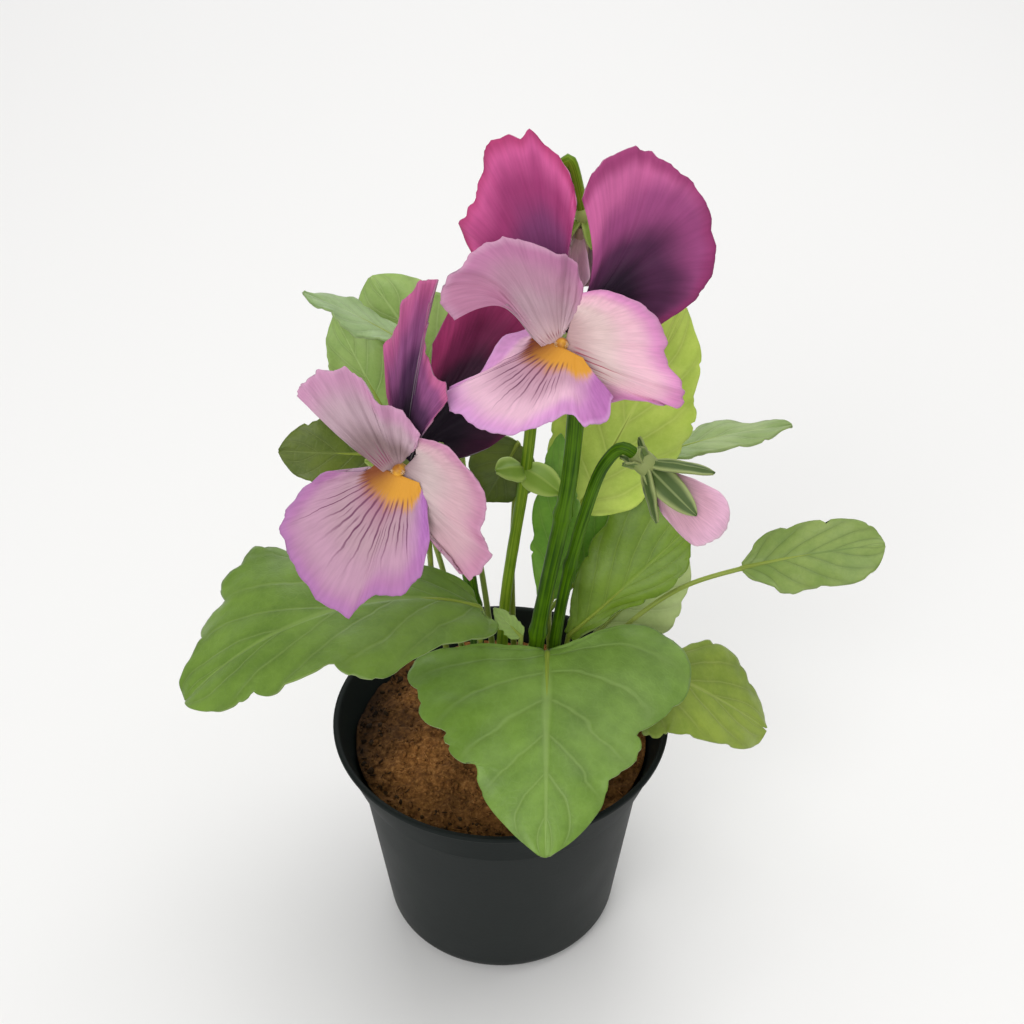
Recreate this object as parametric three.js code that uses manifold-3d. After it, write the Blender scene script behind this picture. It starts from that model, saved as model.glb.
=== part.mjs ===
// A potted pansy: a young pansy plant with two open blooms and two drooping buds in a round
// nursery pot. Millimetres, +Z up. The origin is the centre of the flat underside of the pot.
import * as THREE from "three";
import { mergeVertices } from "three/addons/utils/BufferGeometryUtils.js";
import Module from "manifold-3d";

const wasm = await Module();
wasm.setup();

// ---------------------------------------------------------------- driving dimensions

const POT_HEIGHT = 69;
const RIM_RADIUS = 45; // outer radius at the lip
const BASE_RADIUS = 31.5; // outer radius of the body, extended down to the floor
const BODY_TOP_RADIUS = 38.6; // outer radius of the body just under the rim band
const BAND_HEIGHT = 11.5; // the deep band round the rim
const BAND_STEP = 1.9; // how far the band stands out from the body at its foot
const WALL = 1.5;
const BASE_ROUNDING = 9;
const GAP = 0.35; // between two pieces that rest against each other
const SOIL_LEVEL = 61; // where the soil meets the pot
const SOIL_CROWN = 3.5; // how much higher the soil stands round the stems
const STEM_FOOT = 44; // how deep the stems reach into the soil

const LEAF_THICKNESS = 0.8;
const PETAL_THICKNESS = 0.7;
const SEPAL_THICKNESS = 0.8;
const PETIOLE_RADIUS = 1.1;
const CLAW_HALF_WIDTH = 2; // half width of a petal where it is fixed
const CLAW_REACH = 2.6; // distance of that end from the middle of the bloom
const THROAT_RADIUS = 1.9;
const WRAP_STEP = 1; // from one wrapped petal of a bud to the next

// ---------------------------------------------------------------- materials

const paint = (color, roughness) => new THREE.MeshStandardMaterial({ color, roughness, metalness: 0 });
const MATERIALS = {
  pot: paint(0x2c3132, 0.42),
  soil: paint(0x7a4a2a, 1),
  leaf: paint(0x6f9a4c, 0.6),
  stem: paint(0x4a8a1e, 0.45),
  purple: paint(0x7a2f6c, 0.7),
  mauve: paint(0xd0a0bb, 0.7),
  lilac: paint(0xd9a3cf, 0.7),
  yellow: paint(0xdf9a2c, 0.6),
  budPink: paint(0xd793b5, 0.7),
};

// ---------------------------------------------------------------- cut outlines

// Half a leaf from its foot to its tip, in shares of the length and of the half width.
const ROUND_HALF = [
  [-0.02, 0.06], [0, 0.42], [0.1, 0.76], [0.26, 0.9], [0.36, 1], [0.55, 0.96], [0.66, 0.8],
  [0.8, 0.68], [0.93, 0.36], [1, 0.05],
];
const LONG_HALF = [
  [0, 0.08], [0.06, 0.5], [0.2, 0.84], [0.31, 0.84], [0.42, 1], [0.57, 0.94], [0.68, 0.72],
  [0.82, 0.6], [0.94, 0.28], [1, 0.05],
];
const SEPAL_HALF = [[0, 0.5], [0.3, 0.95], [0.62, 0.86], [0.98, 0.14]];

// The free edge of a petal, from one shoulder round to the other.
const BUD_EDGE = [
  [0.1, -0.7], [0.36, -0.95], [0.68, -1], [0.93, -0.74], [0.96, -0.3], [1, 0.1], [0.9, 0.45],
  [0.95, 0.8], [0.66, 1], [0.34, 0.92], [0.1, 0.66],
];

// ---------------------------------------------------------------- blades

const vec = (p) => new THREE.Vector3(...p);
const degrees = THREE.MathUtils.degToRad;

// The flat grid of a leaf or sepal from its two cut halves: each row runs from one edge over the
// midrib to the other, and the rows lean forward like side veins.
function leafGrid([left, right], columns) {
  const rows = left.length - 1;
  return left.map((_, i) => {
    const rib = (i / rows) ** 1.15;
    return Array.from({ length: 2 * columns + 1 }, (_, j) => {
      const v = (j - columns) / columns;
      const [x, y] = (v < 0 ? left : right)[i];
      const edge = Math.abs(v);
      return { x: THREE.MathUtils.lerp(rib, x, edge), y: y * v, edge, along: i / rows };
    });
  });
}

// The flat grid of a petal: rays from its narrow claw out to its free edge. The rays fan apart on
// the way, more so with a greater "fan", and a "bow" bends the later ones to one side.
function petalGrid(edge, rings, claw, { fan = 1.2, bow = 0 } = {}) {
  const rays = edge.length - 1;
  return edge.map(([x, y], i) => {
    const share = i / rays;
    const sway = bow * Math.sin((Math.PI / 2) * Math.max(0, 2 * share - 1));
    return Array.from({ length: rings + 1 }, (_, j) => {
      const r = j / rings;
      const out = THREE.MathUtils.lerp(claw * (2 * share - 1), y, r ** fan);
      return { x: x * r, y: out + sway * 6.75 * r * r * (1 - r), edge: r, along: share };
    });
  });
}

// Lays a flat grid in space. It runs from one point to another and its face looks towards "facing".
// Arch bends it back along its length and roll across its width, twist turns it round its length,
// and ruffle waves its edge.
function layOut(grid, pose) {
  const { from, to, facing, width, arch = 0, roll = 0, twist = 0, ruffle = 0, waves = 3, phase = 0 } = pose;
  const chord = to.clone().sub(from);
  const along = chord.clone().normalize();
  const face = facing.clone().addScaledVector(along, -facing.dot(along)).normalize();
  const side = new THREE.Vector3().crossVectors(face, along);
  const bend = degrees(arch) || 1e-4;
  const curl = degrees(roll) || 1e-4;
  const length = (chord.length() * (bend / 2)) / Math.sin(bend / 2);
  const [cos, sin] = [Math.cos(bend / 2), Math.sin(bend / 2)];
  const start = along.clone().multiplyScalar(cos).addScaledVector(face, sin);
  const rise = face.clone().multiplyScalar(cos).addScaledVector(along, -sin);
  return grid.map((row) =>
    row.map(({ x, y, edge, along: share }) => {
      const across = curl * (y / 2);
      const wave = ruffle * edge ** 2.5 * Math.sin(2 * Math.PI * waves * share + phase);
      const flatY = (width / curl) * Math.sin(across);
      const flatZ = wave - (width / curl) * (1 - Math.cos(across));
      const turn = degrees(twist) * x;
      const sideways = flatY * Math.cos(turn) - flatZ * Math.sin(turn);
      const height = flatY * Math.sin(turn) + flatZ * Math.cos(turn);
      const angle = bend * x;
      const radius = length / bend;
      return from
        .clone()
        .addScaledVector(start, radius * Math.sin(angle) + height * Math.sin(angle))
        .addScaledVector(rise, height * Math.cos(angle) - radius * (1 - Math.cos(angle)))
        .addScaledVector(side, sideways);
    }),
  );
}

// A closed body from a grid of points: the grid is copied to both sides and a wall joins the two edges.
function slab(points, thickness) {
  const rows = points.length;
  const columns = points[0].length;
  const sheet = new THREE.BufferGeometry().setFromPoints(points.flat());
  const faces = [];
  for (let i = 0; i < rows - 1; i++)
    for (let j = 0; j < columns - 1; j++) {
      const a = i * columns + j;
      const [b, c, d] = [a + 1, a + columns, a + columns + 1];
      faces.push(a, c, b, b, c, d);
    }
  sheet.setIndex(faces);
  sheet.computeVertexNormals();
  const middle = sheet.getAttribute("position");
  const normal = sheet.getAttribute("normal");
  const both = [1, -1].flatMap((way) =>
    Array.from({ length: middle.count }, (_, k) =>
      new THREE.Vector3()
        .fromBufferAttribute(middle, k)
        .addScaledVector(new THREE.Vector3().fromBufferAttribute(normal, k), (way * thickness) / 2),
    ),
  );
  const count = middle.count;
  const under = [];
  for (let k = 0; k < faces.length; k += 3) {
    under.push(faces[k] + count, faces[k + 2] + count, faces[k + 1] + count);
  }
  const rim = [];
  for (let j = 0; j < columns - 1; j++) rim.push(j);
  for (let i = 0; i < rows - 1; i++) rim.push(i * columns + columns - 1);
  for (let j = columns - 1; j > 0; j--) rim.push((rows - 1) * columns + j);
  for (let i = rows - 1; i > 0; i--) rim.push(i * columns);
  const wall = rim.flatMap((a, k) => {
    const b = rim[(k + 1) % rim.length];
    return [a, b, a + count, b, b + count, a + count];
  });
  return solid(new THREE.BufferGeometry().setFromPoints(both).setIndex([...faces, ...under, ...wall]));
}

// ---------------------------------------------------------------- solids

function solid(geometry) {
  const bare = geometry.clone();
  for (const name of Object.keys(bare.attributes)) if (name !== "position") bare.deleteAttribute(name);
  const merged = mergeVertices(bare, 1e-4);
  return new wasm.Manifold(
    new wasm.Mesh({
      numProp: 3,
      vertProperties: new Float32Array(merged.getAttribute("position").array),
      triVerts: new Uint32Array(merged.index.array),
    }),
  );
}

function geometryOf(body) {
  const mesh = body.getMesh();
  return new THREE.BufferGeometry()
    .setAttribute("position", new THREE.BufferAttribute(new Float32Array(mesh.vertProperties), 3))
    .setIndex(new THREE.BufferAttribute(new Uint32Array(mesh.triVerts), 1));
}

function fuse(...bodies) {
  return bodies.reduce((whole, next) => whole.add(next));
}

// A round stalk of even thickness along a smooth line through the points.
function stalk(points, radius, { sides = 6, steps = 9 } = {}) {
  const corners = Array.from({ length: sides }, (_, k) => {
    const a = (2 * Math.PI * k) / sides;
    return new THREE.Vector2(radius * Math.cos(a), radius * Math.sin(a));
  });
  const path = new THREE.CatmullRomCurve3(points.map(vec), false, "centripetal");
  const outline = new THREE.Shape(corners);
  return solid(new THREE.ExtrudeGeometry(outline, { steps, extrudePath: path, bevelEnabled: false }));
}

const plant = new THREE.Group();
function piece(name, body, material) {
  const mesh = new THREE.Mesh(geometryOf(body), material);
  mesh.name = name;
  plant.add(mesh);
}

const holes = []; // where stalks stand in the soil: [x, y, radius]

// ---------------------------------------------------------------- leaves

// The straight part of a stalk, from its foot in the soil to the top of the heap.
function standing([x, y]) {
  return [STEM_FOOT, SOIL_LEVEL - 4, SOIL_LEVEL + SOIL_CROWN].map((z) => [x, y, z]);
}

// A leaf on its petiole. "halves" are its two cut sides. The petiole stands in the soil at "foot",
// passes the points of "via", and runs on under the foot of the midrib.
function leaf(name, { halves, foot, via, columns = 2, ...pose }) {
  const lie = { ...pose, from: vec(pose.from), to: vec(pose.to), facing: vec(pose.facing) };
  const points = layOut(leafGrid(halves, columns), lie);
  const rib = [0, 1, 3].map((i) => points[i][columns].toArray());
  const [x, y] = foot;
  const path = [...standing(foot), ...via, ...rib];
  holes.push([x, y, PETIOLE_RADIUS]);
  piece(name, fuse(slab(points, LEAF_THICKNESS), stalk(path, PETIOLE_RADIUS)), MATERIALS.leaf);
}

leaf("leaf_front", {
  halves: [
    [
      [-0.02, 0.05], [-0.03, 0.36], [-0.04, 0.7], [-0.02, 0.95], [0.07, 1.02], [0.17, 0.92],
      [0.32, 0.9], [0.42, 0.72], [0.5, 0.7], [0.59, 0.6], [0.6, 0.49], [0.69, 0.46], [0.79, 0.38],
      [0.89, 0.24], [0.99, 0.05],
    ],
    [
      [-0.02, 0.02], [-0.11, 0.31], [-0.25, 0.65], [-0.22, 0.91], [-0.04, 1.06], [0.13, 1.03],
      [0.28, 0.88], [0.43, 0.64], [0.52, 0.65], [0.6, 0.57], [0.66, 0.42], [0.73, 0.41],
      [0.85, 0.3], [0.94, 0.16], [0.99, 0.03],
    ],
  ],
  foot: [8, -7], via: [[9, -6, 80]],
  from: [12, -6, 97], to: [11, -56.5, 75.5], facing: [0, -0.35, 1],
  width: 72, arch: 45, roll: 35, ruffle: 1.4, waves: 2,
});
leaf("leaf_left", {
  halves: [
    [
      [0, 0.2], [0.05, 0.3], [0.18, 0.45], [0.3, 0.67], [0.43, 0.91], [0.55, 1.05], [0.65, 1.32],
      [0.66, 1.14], [0.76, 1.02], [0.78, 0.81], [0.86, 0.76], [0.88, 0.52], [0.94, 0.33],
      [0.99, 0.2], [1, 0.02],
    ],
    [
      [-0.01, 0.12], [-0.04, 0.5], [0.06, 0.72], [0.2, 0.66], [0.35, 0.82], [0.43, 0.89],
      [0.5, 0.78], [0.53, 0.65], [0.63, 0.64], [0.72, 0.6], [0.78, 0.47], [0.85, 0.48],
      [0.93, 0.35], [0.98, 0.16], [1, 0.04],
    ],
  ],
  foot: [-8, -4], via: [[-6, -2, 90], [-4.5, -3.5, 106]],
  from: [-5, -7, 113], to: [-76, -32, 104], facing: [-0.15, -0.15, 1],
  width: 52, arch: 85, roll: 20, ruffle: 1.2, waves: 2.5,
});
leaf("leaf_right_low", {
  halves: [
    [
      [0.05, 0.1], [0.14, 0.4], [0.22, 0.76], [0.29, 1.05], [0.36, 1.02], [0.41, 0.88], [0.57, 0.8],
      [0.73, 0.65], [0.89, 0.49], [1.03, 0.18],
    ],
    [
      [0.05, 0.1], [0.16, 0.2], [0.26, 0.3], [0.41, 0.55], [0.56, 0.89], [0.65, 0.96], [0.77, 0.82],
      [0.81, 0.54], [0.93, 0.47], [1.04, 0.15],
    ],
  ],
  foot: [14, -3], via: [[17, -2.5, 82]],
  from: [27, -1, 93], to: [71, 0, 64], facing: [0.3, -0.4, 1],
  width: 36, arch: 30, roll: 15, ruffle: 1, waves: 2,
});
leaf("leaf_right_far", {
  halves: [
    [
      [0, 0.1], [0.08, 0.31], [0.19, 0.48], [0.31, 0.71], [0.41, 0.66], [0.58, 0.7], [0.75, 0.71],
      [0.9, 0.49], [0.97, 0.25], [1, 0.04],
    ],
    [
      [0, 0.1], [0.08, 0.24], [0.15, 0.47], [0.31, 0.63], [0.45, 0.64], [0.65, 0.59], [0.82, 0.52],
      [0.93, 0.37], [0.98, 0.2], [1, 0.04],
    ],
  ],
  foot: [20, 3], via: [[27, 9, 83], [46, 13, 101]],
  from: [63, 13, 109], to: [98.5, 10, 119], facing: [0, -0.6, 1],
  width: 28, arch: 25, roll: -30, ruffle: 0.6, waves: 2,
});
leaf("leaf_right_back", {
  halves: [
    [
      [0, 0.1], [0.09, 0.12], [0.23, 0.2], [0.4, 0.3], [0.56, 0.42], [0.72, 0.48], [0.85, 0.38],
      [0.91, 0.25], [0.96, 0.13], [1, 0.05],
    ],
    [
      [0, 0.1], [0.1, 0.2], [0.22, 0.47], [0.43, 0.73], [0.62, 0.9], [0.8, 0.97], [0.96, 0.85],
      [1.02, 0.61], [1.03, 0.32], [1.01, 0.05],
    ],
  ],
  foot: [17, 9], via: [[17.5, 8.5, 78]],
  from: [18, 8.5, 89], to: [49, 16, 120], facing: [-0.1, -1, 0.5],
  width: 36, arch: 20, roll: 15, ruffle: 0.8, waves: 2,
});
leaf("leaf_right_pale", {
  halves: [LONG_HALF, LONG_HALF],
  foot: [21, 14], via: [[22, 17, 70]],
  from: [26, 20, 80], to: [51, 33, 99], facing: [-0.1, -1, 0.6],
  width: 26, arch: 15, roll: 15, ruffle: 0.8, waves: 2,
});
leaf("leaf_back_tall", {
  halves: [LONG_HALF, ROUND_HALF],
  foot: [9, 13], via: [[12, 15, 90], [17, 17, 112]],
  from: [20, 17, 124.5], to: [45, 28, 178], facing: [0.1, -1, 0.4],
  width: 34, arch: 15, roll: 15, ruffle: 1, waves: 2,
});
leaf("leaf_narrow", {
  halves: [LONG_HALF, LONG_HALF],
  foot: [14, 18], via: [[14, 25, 95], [26, 33, 118]],
  from: [39.5, 27, 135], to: [75, 30, 142], facing: [0, 0.1, 1],
  width: 16, arch: 22, roll: 10, ruffle: 1, waves: 2.5,
});
leaf("leaf_bright_back", {
  halves: [LONG_HALF, LONG_HALF],
  foot: [4, 15], via: [[12, 20, 86]],
  from: [20, 21, 97], to: [38, 26, 135], facing: [0.1, -1, 0.5],
  width: 18, arch: 15, roll: 15, ruffle: 0.6, waves: 2,
});
leaf("leaf_behind_stems", {
  halves: [LONG_HALF, ROUND_HALF],
  foot: [6.5, 7], via: [[8, 9, 84]],
  from: [13.5, 10.5, 100], to: [15, 13, 151], facing: [0, -1, 0.3],
  width: 13, arch: 10, roll: 10, ruffle: 0.5, waves: 2,
});
leaf("leaf_upper_left", {
  halves: [ROUND_HALF, ROUND_HALF],
  foot: [-5, 16], via: [[-8, 21, 110]],
  from: [-12, 28, 154], to: [-32, 36, 182], facing: [-0.1, -1, 0.4],
  width: 29, arch: 15, roll: 15, ruffle: 0.8, waves: 2,
});
leaf("leaf_folded", {
  halves: [LONG_HALF, LONG_HALF],
  foot: [-1, 11], via: [[-5, 11, 110], [-13, 9, 160]],
  from: [-22, 11, 179], to: [-46, 18, 188], facing: [0, 0.2, 1],
  width: 16, arch: 15, roll: 10, ruffle: 0.8, waves: 2,
});
leaf("leaf_hanging", {
  halves: [ROUND_HALF, LONG_HALF],
  foot: [-8, 9], via: [[-15, 11, 110]],
  from: [-26.5, 15, 152], to: [-39.5, 21, 180], facing: [-0.1, -1, 0.4],
  width: 18, arch: 15, roll: 15, ruffle: 0.8, waves: 2,
});
leaf("leaf_left_small", {
  halves: [ROUND_HALF, ROUND_HALF],
  foot: [-11, 3], via: [[-17, 3, 110], [-20, 1, 146]],
  from: [-27, 0, 154], to: [-52, -4, 158], facing: [0, -1, 0.6],
  width: 19, arch: 20, roll: 15, ruffle: 0.5, waves: 2,
});
leaf("leaf_under_bloom", {
  halves: [ROUND_HALF, LONG_HALF],
  foot: [4, 11], via: [[3, 13, 110], [4, 16, 136]],
  from: [4.5, 15.5, 146.5], to: [-4, 12, 131], facing: [0, -1, 0.5],
  width: 18, arch: 25, roll: 10, ruffle: 0.5, waves: 2,
});
leaf("leaf_small", {
  halves: [LONG_HALF, LONG_HALF],
  foot: [2, -4], via: [[3, -3.5, 80]],
  from: [5.5, -2, 98], to: [-1.5, -2, 107.5], facing: [0, -1, 0.7],
  width: 6, arch: 15, roll: 10, ruffle: 0.3, waves: 1,
});

// ---------------------------------------------------------------- flower stems

// One green sepal of a calyx. "spread" is its angle from the axis of the flower and "turn" its
// place round it.
function sepal(seat, axis, upright, { turn, spread, length, width, arch = 20 }) {
  const away = upright.clone().applyAxisAngle(axis, degrees(turn));
  const [cos, sin] = [Math.cos(degrees(spread)), Math.sin(degrees(spread))];
  const heading = axis.clone().multiplyScalar(cos).addScaledVector(away, sin);
  const facing = away.clone().multiplyScalar(cos).addScaledVector(axis, -sin);
  const from = seat.clone().addScaledVector(away, 0.8);
  const to = from.clone().addScaledVector(heading, length);
  const grid = leafGrid([SEPAL_HALF, SEPAL_HALF], 1);
  return slab(layOut(grid, { from, to, facing, width, arch, roll: 40 }), SEPAL_THICKNESS);
}

// A flower stem with the green knob at its top, its sepals and any small bracts on the way, in one
// body.
function flowerStem(name, { foot, via, seat, axis, radius, knob, sepals, bracts = [] }) {
  const upright = uprightTo(axis);
  const path = [...standing(foot), ...via, seat.toArray()];
  const ball = new THREE.SphereGeometry(knob, 7, 5).translate(...seat.toArray());
  const blades = sepals.map((s) => sepal(seat, axis, upright, s));
  const small = bracts.map(({ from, to, facing, ...lie }) => {
    const pose = { ...lie, from: vec(from), to: vec(to), facing: vec(facing) };
    return slab(layOut(leafGrid([SEPAL_HALF, SEPAL_HALF], 1), pose), SEPAL_THICKNESS);
  });
  holes.push([...foot, radius]);
  const stem = stalk(path, radius, { sides: 7, steps: 14 });
  piece(name, fuse(stem, solid(ball), ...blades, ...small), MATERIALS.stem);
}

// The direction square to an axis that points most nearly up.
function uprightTo(axis) {
  return new THREE.Vector3(0, 0, 1).addScaledVector(axis, -axis.z).normalize();
}

// ---------------------------------------------------------------- blooms

const BLOOM_SEPAL = { spread: 108, length: 9.5, width: 4.4, arch: 30 };
const BLOOM_SEPALS = [18, 90, 162, 234, 306].map((turn) => ({ ...BLOOM_SEPAL, turn }));
const BLOOM_SEAT = 6.1; // how far behind the throat the calyx sits
const BLOOM_KNOB = 2.5;

// An open bloom: five petals round a yellow throat, on a stem whose calyx holds them from behind.
function bloom(name, { centre, facing, petals, stem }) {
  const middle = vec(centre);
  const axis = vec(facing).normalize();
  for (const [part, { edge, rays, to, layer, material, face, ...lie }] of Object.entries(petals)) {
    const tip = vec(to);
    const reach = tip.clone().sub(middle);
    reach.addScaledVector(axis, -reach.dot(axis)).normalize();
    const from = middle.clone().addScaledVector(reach, CLAW_REACH).addScaledVector(axis, layer);
    const grid = petalGrid(edge, 4, (2 * CLAW_HALF_WIDTH) / lie.width, rays);
    const points = layOut(grid, { ...lie, from, to: tip, facing: vec(face) });
    piece(`${name}_${part}`, slab(points, PETAL_THICKNESS), material);
  }
  const profile = [
    [0, -3.2], [1.5, -3.2], [THROAT_RADIUS, -1], [THROAT_RADIUS, 1.2], [1.2, 2.4], [0, 2.9],
  ];
  const throat = new THREE.LatheGeometry(profile.map((p) => new THREE.Vector2(...p)), 10);
  throat.applyQuaternion(new THREE.Quaternion().setFromUnitVectors(new THREE.Vector3(0, 1, 0), axis));
  piece(`${name}_throat`, solid(throat.translate(...centre)), MATERIALS.yellow);
  const seat = middle.clone().addScaledVector(axis, -BLOOM_SEAT);
  flowerStem(`${name}_stem`, { ...stem, seat, axis, knob: BLOOM_KNOB, sepals: BLOOM_SEPALS });
}

bloom("bloom_1", {
  centre: [14, -10, 191],
  facing: [-0.05, -0.85, 0.55],
  stem: { foot: [9, 1], via: [[9.5, 0.5, 95], [17, -1, 150], [17.5, -1, 178]], radius: 2.1 },
  petals: {
    upper_left_petal: {
      edge: [
        [0.15, -0.17], [0.3, -0.27], [0.47, -0.41], [0.6, -0.52], [0.72, -0.48], [0.86, -0.36],
        [1, -0.06], [0.98, 0.2], [0.93, 0.49], [0.76, 0.75], [0.61, 1.05], [0.42, 0.98],
        [0.12, 0.48],
      ],
      rays: { fan: 1.5 }, to: [5.8, 6, 234.2],
      layer: -2.8, face: [-0.1, -1, 0.25], material: MATERIALS.purple,
      width: 34, arch: -12, roll: -15, ruffle: 0.7, waves: 4,
    },
    upper_right_petal: {
      edge: [
        [0.06, -0.2], [0.17, -0.53], [0.36, -0.77], [0.56, -0.88], [0.71, -0.84], [0.83, -0.64],
        [0.97, -0.2], [1, 0.17], [0.98, 0.62], [0.94, 0.89], [0.8, 1.11], [0.69, 1.1], [0.57, 0.99],
      ],
      rays: { fan: 2 }, to: [43.8, 4, 221.4],
      layer: -1.7, face: [0.2, -1, 0.3], material: MATERIALS.purple,
      width: 38, arch: -12, roll: -12, ruffle: 0.7, waves: 2.5,
    },
    left_side_petal: {
      edge: [
        [-0.06, -0.5], [0.01, -0.82], [0.13, -1.11], [0.29, -1.19], [0.52, -1.17], [0.79, -1.07],
        [0.98, -0.69], [1.03, -0.2], [0.99, 0.11], [0.81, 0.26],
      ],
      rays: { bow: -0.54 }, to: [-11.6, -18, 206.8],
      layer: -0.4, face: [0.15, -1, 0.15], material: MATERIALS.mauve,
      width: 32, arch: 25, roll: 20, ruffle: 0.7, waves: 3,
    },
    right_side_petal: {
      edge: [
        [0.23, -0.56], [0.47, -0.62], [0.78, -0.37], [0.94, -0.38], [1.04, -0.34], [1.04, -0.14],
        [1, 0.03], [0.84, 0.21], [0.79, 0.51], [0.68, 0.82], [0.51, 1], [0.21, 0.99], [-0.04, 0.77],
      ],
      to: [39.9, -21, 187.4], layer: -0.4, face: [0, -1, 0.25], material: MATERIALS.mauve,
      width: 30, arch: 18, roll: 12, ruffle: 0.7, waves: 3,
    },
    lower_petal: {
      edge: [
        [-0.05, -0.21], [0.2, -0.53], [0.61, -0.61], [0.8, -0.75], [0.93, -0.79], [1, -0.5],
        [1.03, -0.21], [0.96, 0.12], [0.7, 0.3], [0.56, 0.45], [0.59, 0.7], [0.42, 0.84],
        [0.18, 0.75],
      ],
      to: [0.4, -28.4, 179], layer: 1.2, face: [-0.05, -0.4, 1], material: MATERIALS.lilac,
      width: 44, arch: 15, roll: 10, ruffle: 1, waves: 4,
    },
  },
});

bloom("bloom_2", {
  centre: [-22, -28, 169.5],
  facing: [-0.15, -0.85, 0.45],
  stem: { foot: [-6, -1], via: [[-6, 2, 90], [-8.5, 4, 118], [-13, -3, 142]], radius: 1.9 },
  petals: {
    upper_left_petal: {
      edge: [
        [0.21, -0.47], [0.38, -0.83], [0.47, -0.71], [0.57, -0.29], [0.69, -0.21], [0.86, -0.24],
        [1.01, -0.27], [1, 0.04], [0.87, 0.33], [0.73, 0.41], [0.62, 0.71], [0.34, 0.48],
      ],
      rays: { fan: 1.7 }, to: [-16.7, -12, 207.7],
      layer: -1.9, face: [-0.3, -1, 0.2], material: MATERIALS.purple,
      width: 22, arch: -10, roll: -40, ruffle: 0.5, waves: 3,
    },
    upper_right_petal: {
      edge: [
        [0.06, -0.24], [0.16, -0.51], [0.32, -0.73], [0.5, -0.87], [0.68, -0.77], [0.84, -0.58],
        [0.96, -0.26], [0.98, 0.1], [0.95, 0.4], [0.82, 0.62], [0.55, 0.53],
      ],
      rays: { fan: 2 }, to: [4.8, 8, 189.1],
      layer: -2.85, face: [0.1, -0.9, 0.55], material: MATERIALS.purple,
      width: 36, arch: -8, roll: -12, ruffle: 0.7, waves: 3,
    },
    left_side_petal: {
      edge: [
        [0.03, -0.42], [0.1, -0.78], [0.32, -0.87], [0.54, -0.71], [0.72, -0.8], [0.87, -0.74],
        [1, -0.42], [1, -0.03], [0.95, 0.23],
      ],
      to: [-40.9, -33, 194.9], layer: -0.4, face: [0.2, -1, 0.15], material: MATERIALS.mauve,
      width: 24, arch: 20, roll: 20, ruffle: 0.6, waves: 3,
    },
    right_side_petal: {
      edge: [
        [0.59, -0.43], [0.72, -0.4], [0.86, -0.47], [0.99, -0.5], [1.01, -0.19], [0.98, 0.24],
        [0.83, 0.31], [0.7, 0.71], [0.58, 0.97], [0.4, 1.1], [0.11, 1.01], [-0.1, 0.69],
      ],
      to: [-2.7, -41, 153.3], layer: -0.4, face: [-0.2, -0.9, 0.25], material: MATERIALS.mauve,
      width: 24, arch: 15, roll: 15, ruffle: 0.6, waves: 3,
    },
    lower_petal: {
      edge: [
        [0.05, -0.38], [0.15, -0.8], [0.3, -1.05], [0.5, -1.15], [0.66, -1.14], [0.82, -0.85],
        [0.98, -0.41], [1, 0.06], [0.83, 0.2], [0.74, 0.55], [0.57, 0.7], [0.32, 0.64],
        [0.09, 0.44],
      ],
      to: [-33.9, -46, 142.9], layer: 1, face: [-0.25, -0.85, 0.5], material: MATERIALS.lilac,
      width: 38, arch: 15, roll: 20, ruffle: 0.8, waves: 4,
    },
  },
});

// ---------------------------------------------------------------- buds

const BUD_SEAT = 3;
const BUD_KNOB = 2.2;
const BUD_WRAP = 75; // degrees that half a bud petal wraps round the axis

// A closed bud hanging from a hooked stem: petals wrapped in layers round a small core. Each of
// "wraps" is the place of one petal round the axis, from the outermost in.
function bud(name, { base, tip, girth, wraps, stem }) {
  const foot = vec(base);
  const axis = vec(tip).sub(foot);
  const length = axis.length();
  axis.normalize();
  const upright = uprightTo(axis);
  const petals = wraps.map((turn, layer) => {
    const points = petalGrid(BUD_EDGE, 3, 0.6).map((row) =>
      row.map(({ x, y }) => {
        const away = upright.clone().applyAxisAngle(axis, degrees(turn + BUD_WRAP * y));
        const swell = (girth / 2) * Math.sin(Math.PI * (0.13 + 0.58 * x)) - layer * WRAP_STEP;
        return foot.clone().addScaledVector(axis, length * x).addScaledVector(away, swell);
      }),
    );
    return slab(points, PETAL_THICKNESS);
  });
  const turned = new THREE.Quaternion().setFromUnitVectors(new THREE.Vector3(0, 1, 0), axis);
  const [narrow, wide] = [girth * 0.19, girth * 0.15 + WRAP_STEP / 2];
  const core = [
    [0, -0.2], [wide, -0.2], [wide, 1.6], [narrow, 3], [narrow, length * 0.7], [0, length * 0.8],
  ];
  const pith = new THREE.LatheGeometry(core.map((p) => new THREE.Vector2(...p)), 8);
  pith.applyQuaternion(turned).translate(...base);
  piece(`${name}_petals`, fuse(solid(pith), ...petals), MATERIALS.budPink);
  const seat = foot.clone().addScaledVector(axis, -BUD_SEAT);
  flowerStem(`${name}_stem`, { ...stem, seat, axis, knob: BUD_KNOB });
}

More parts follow.
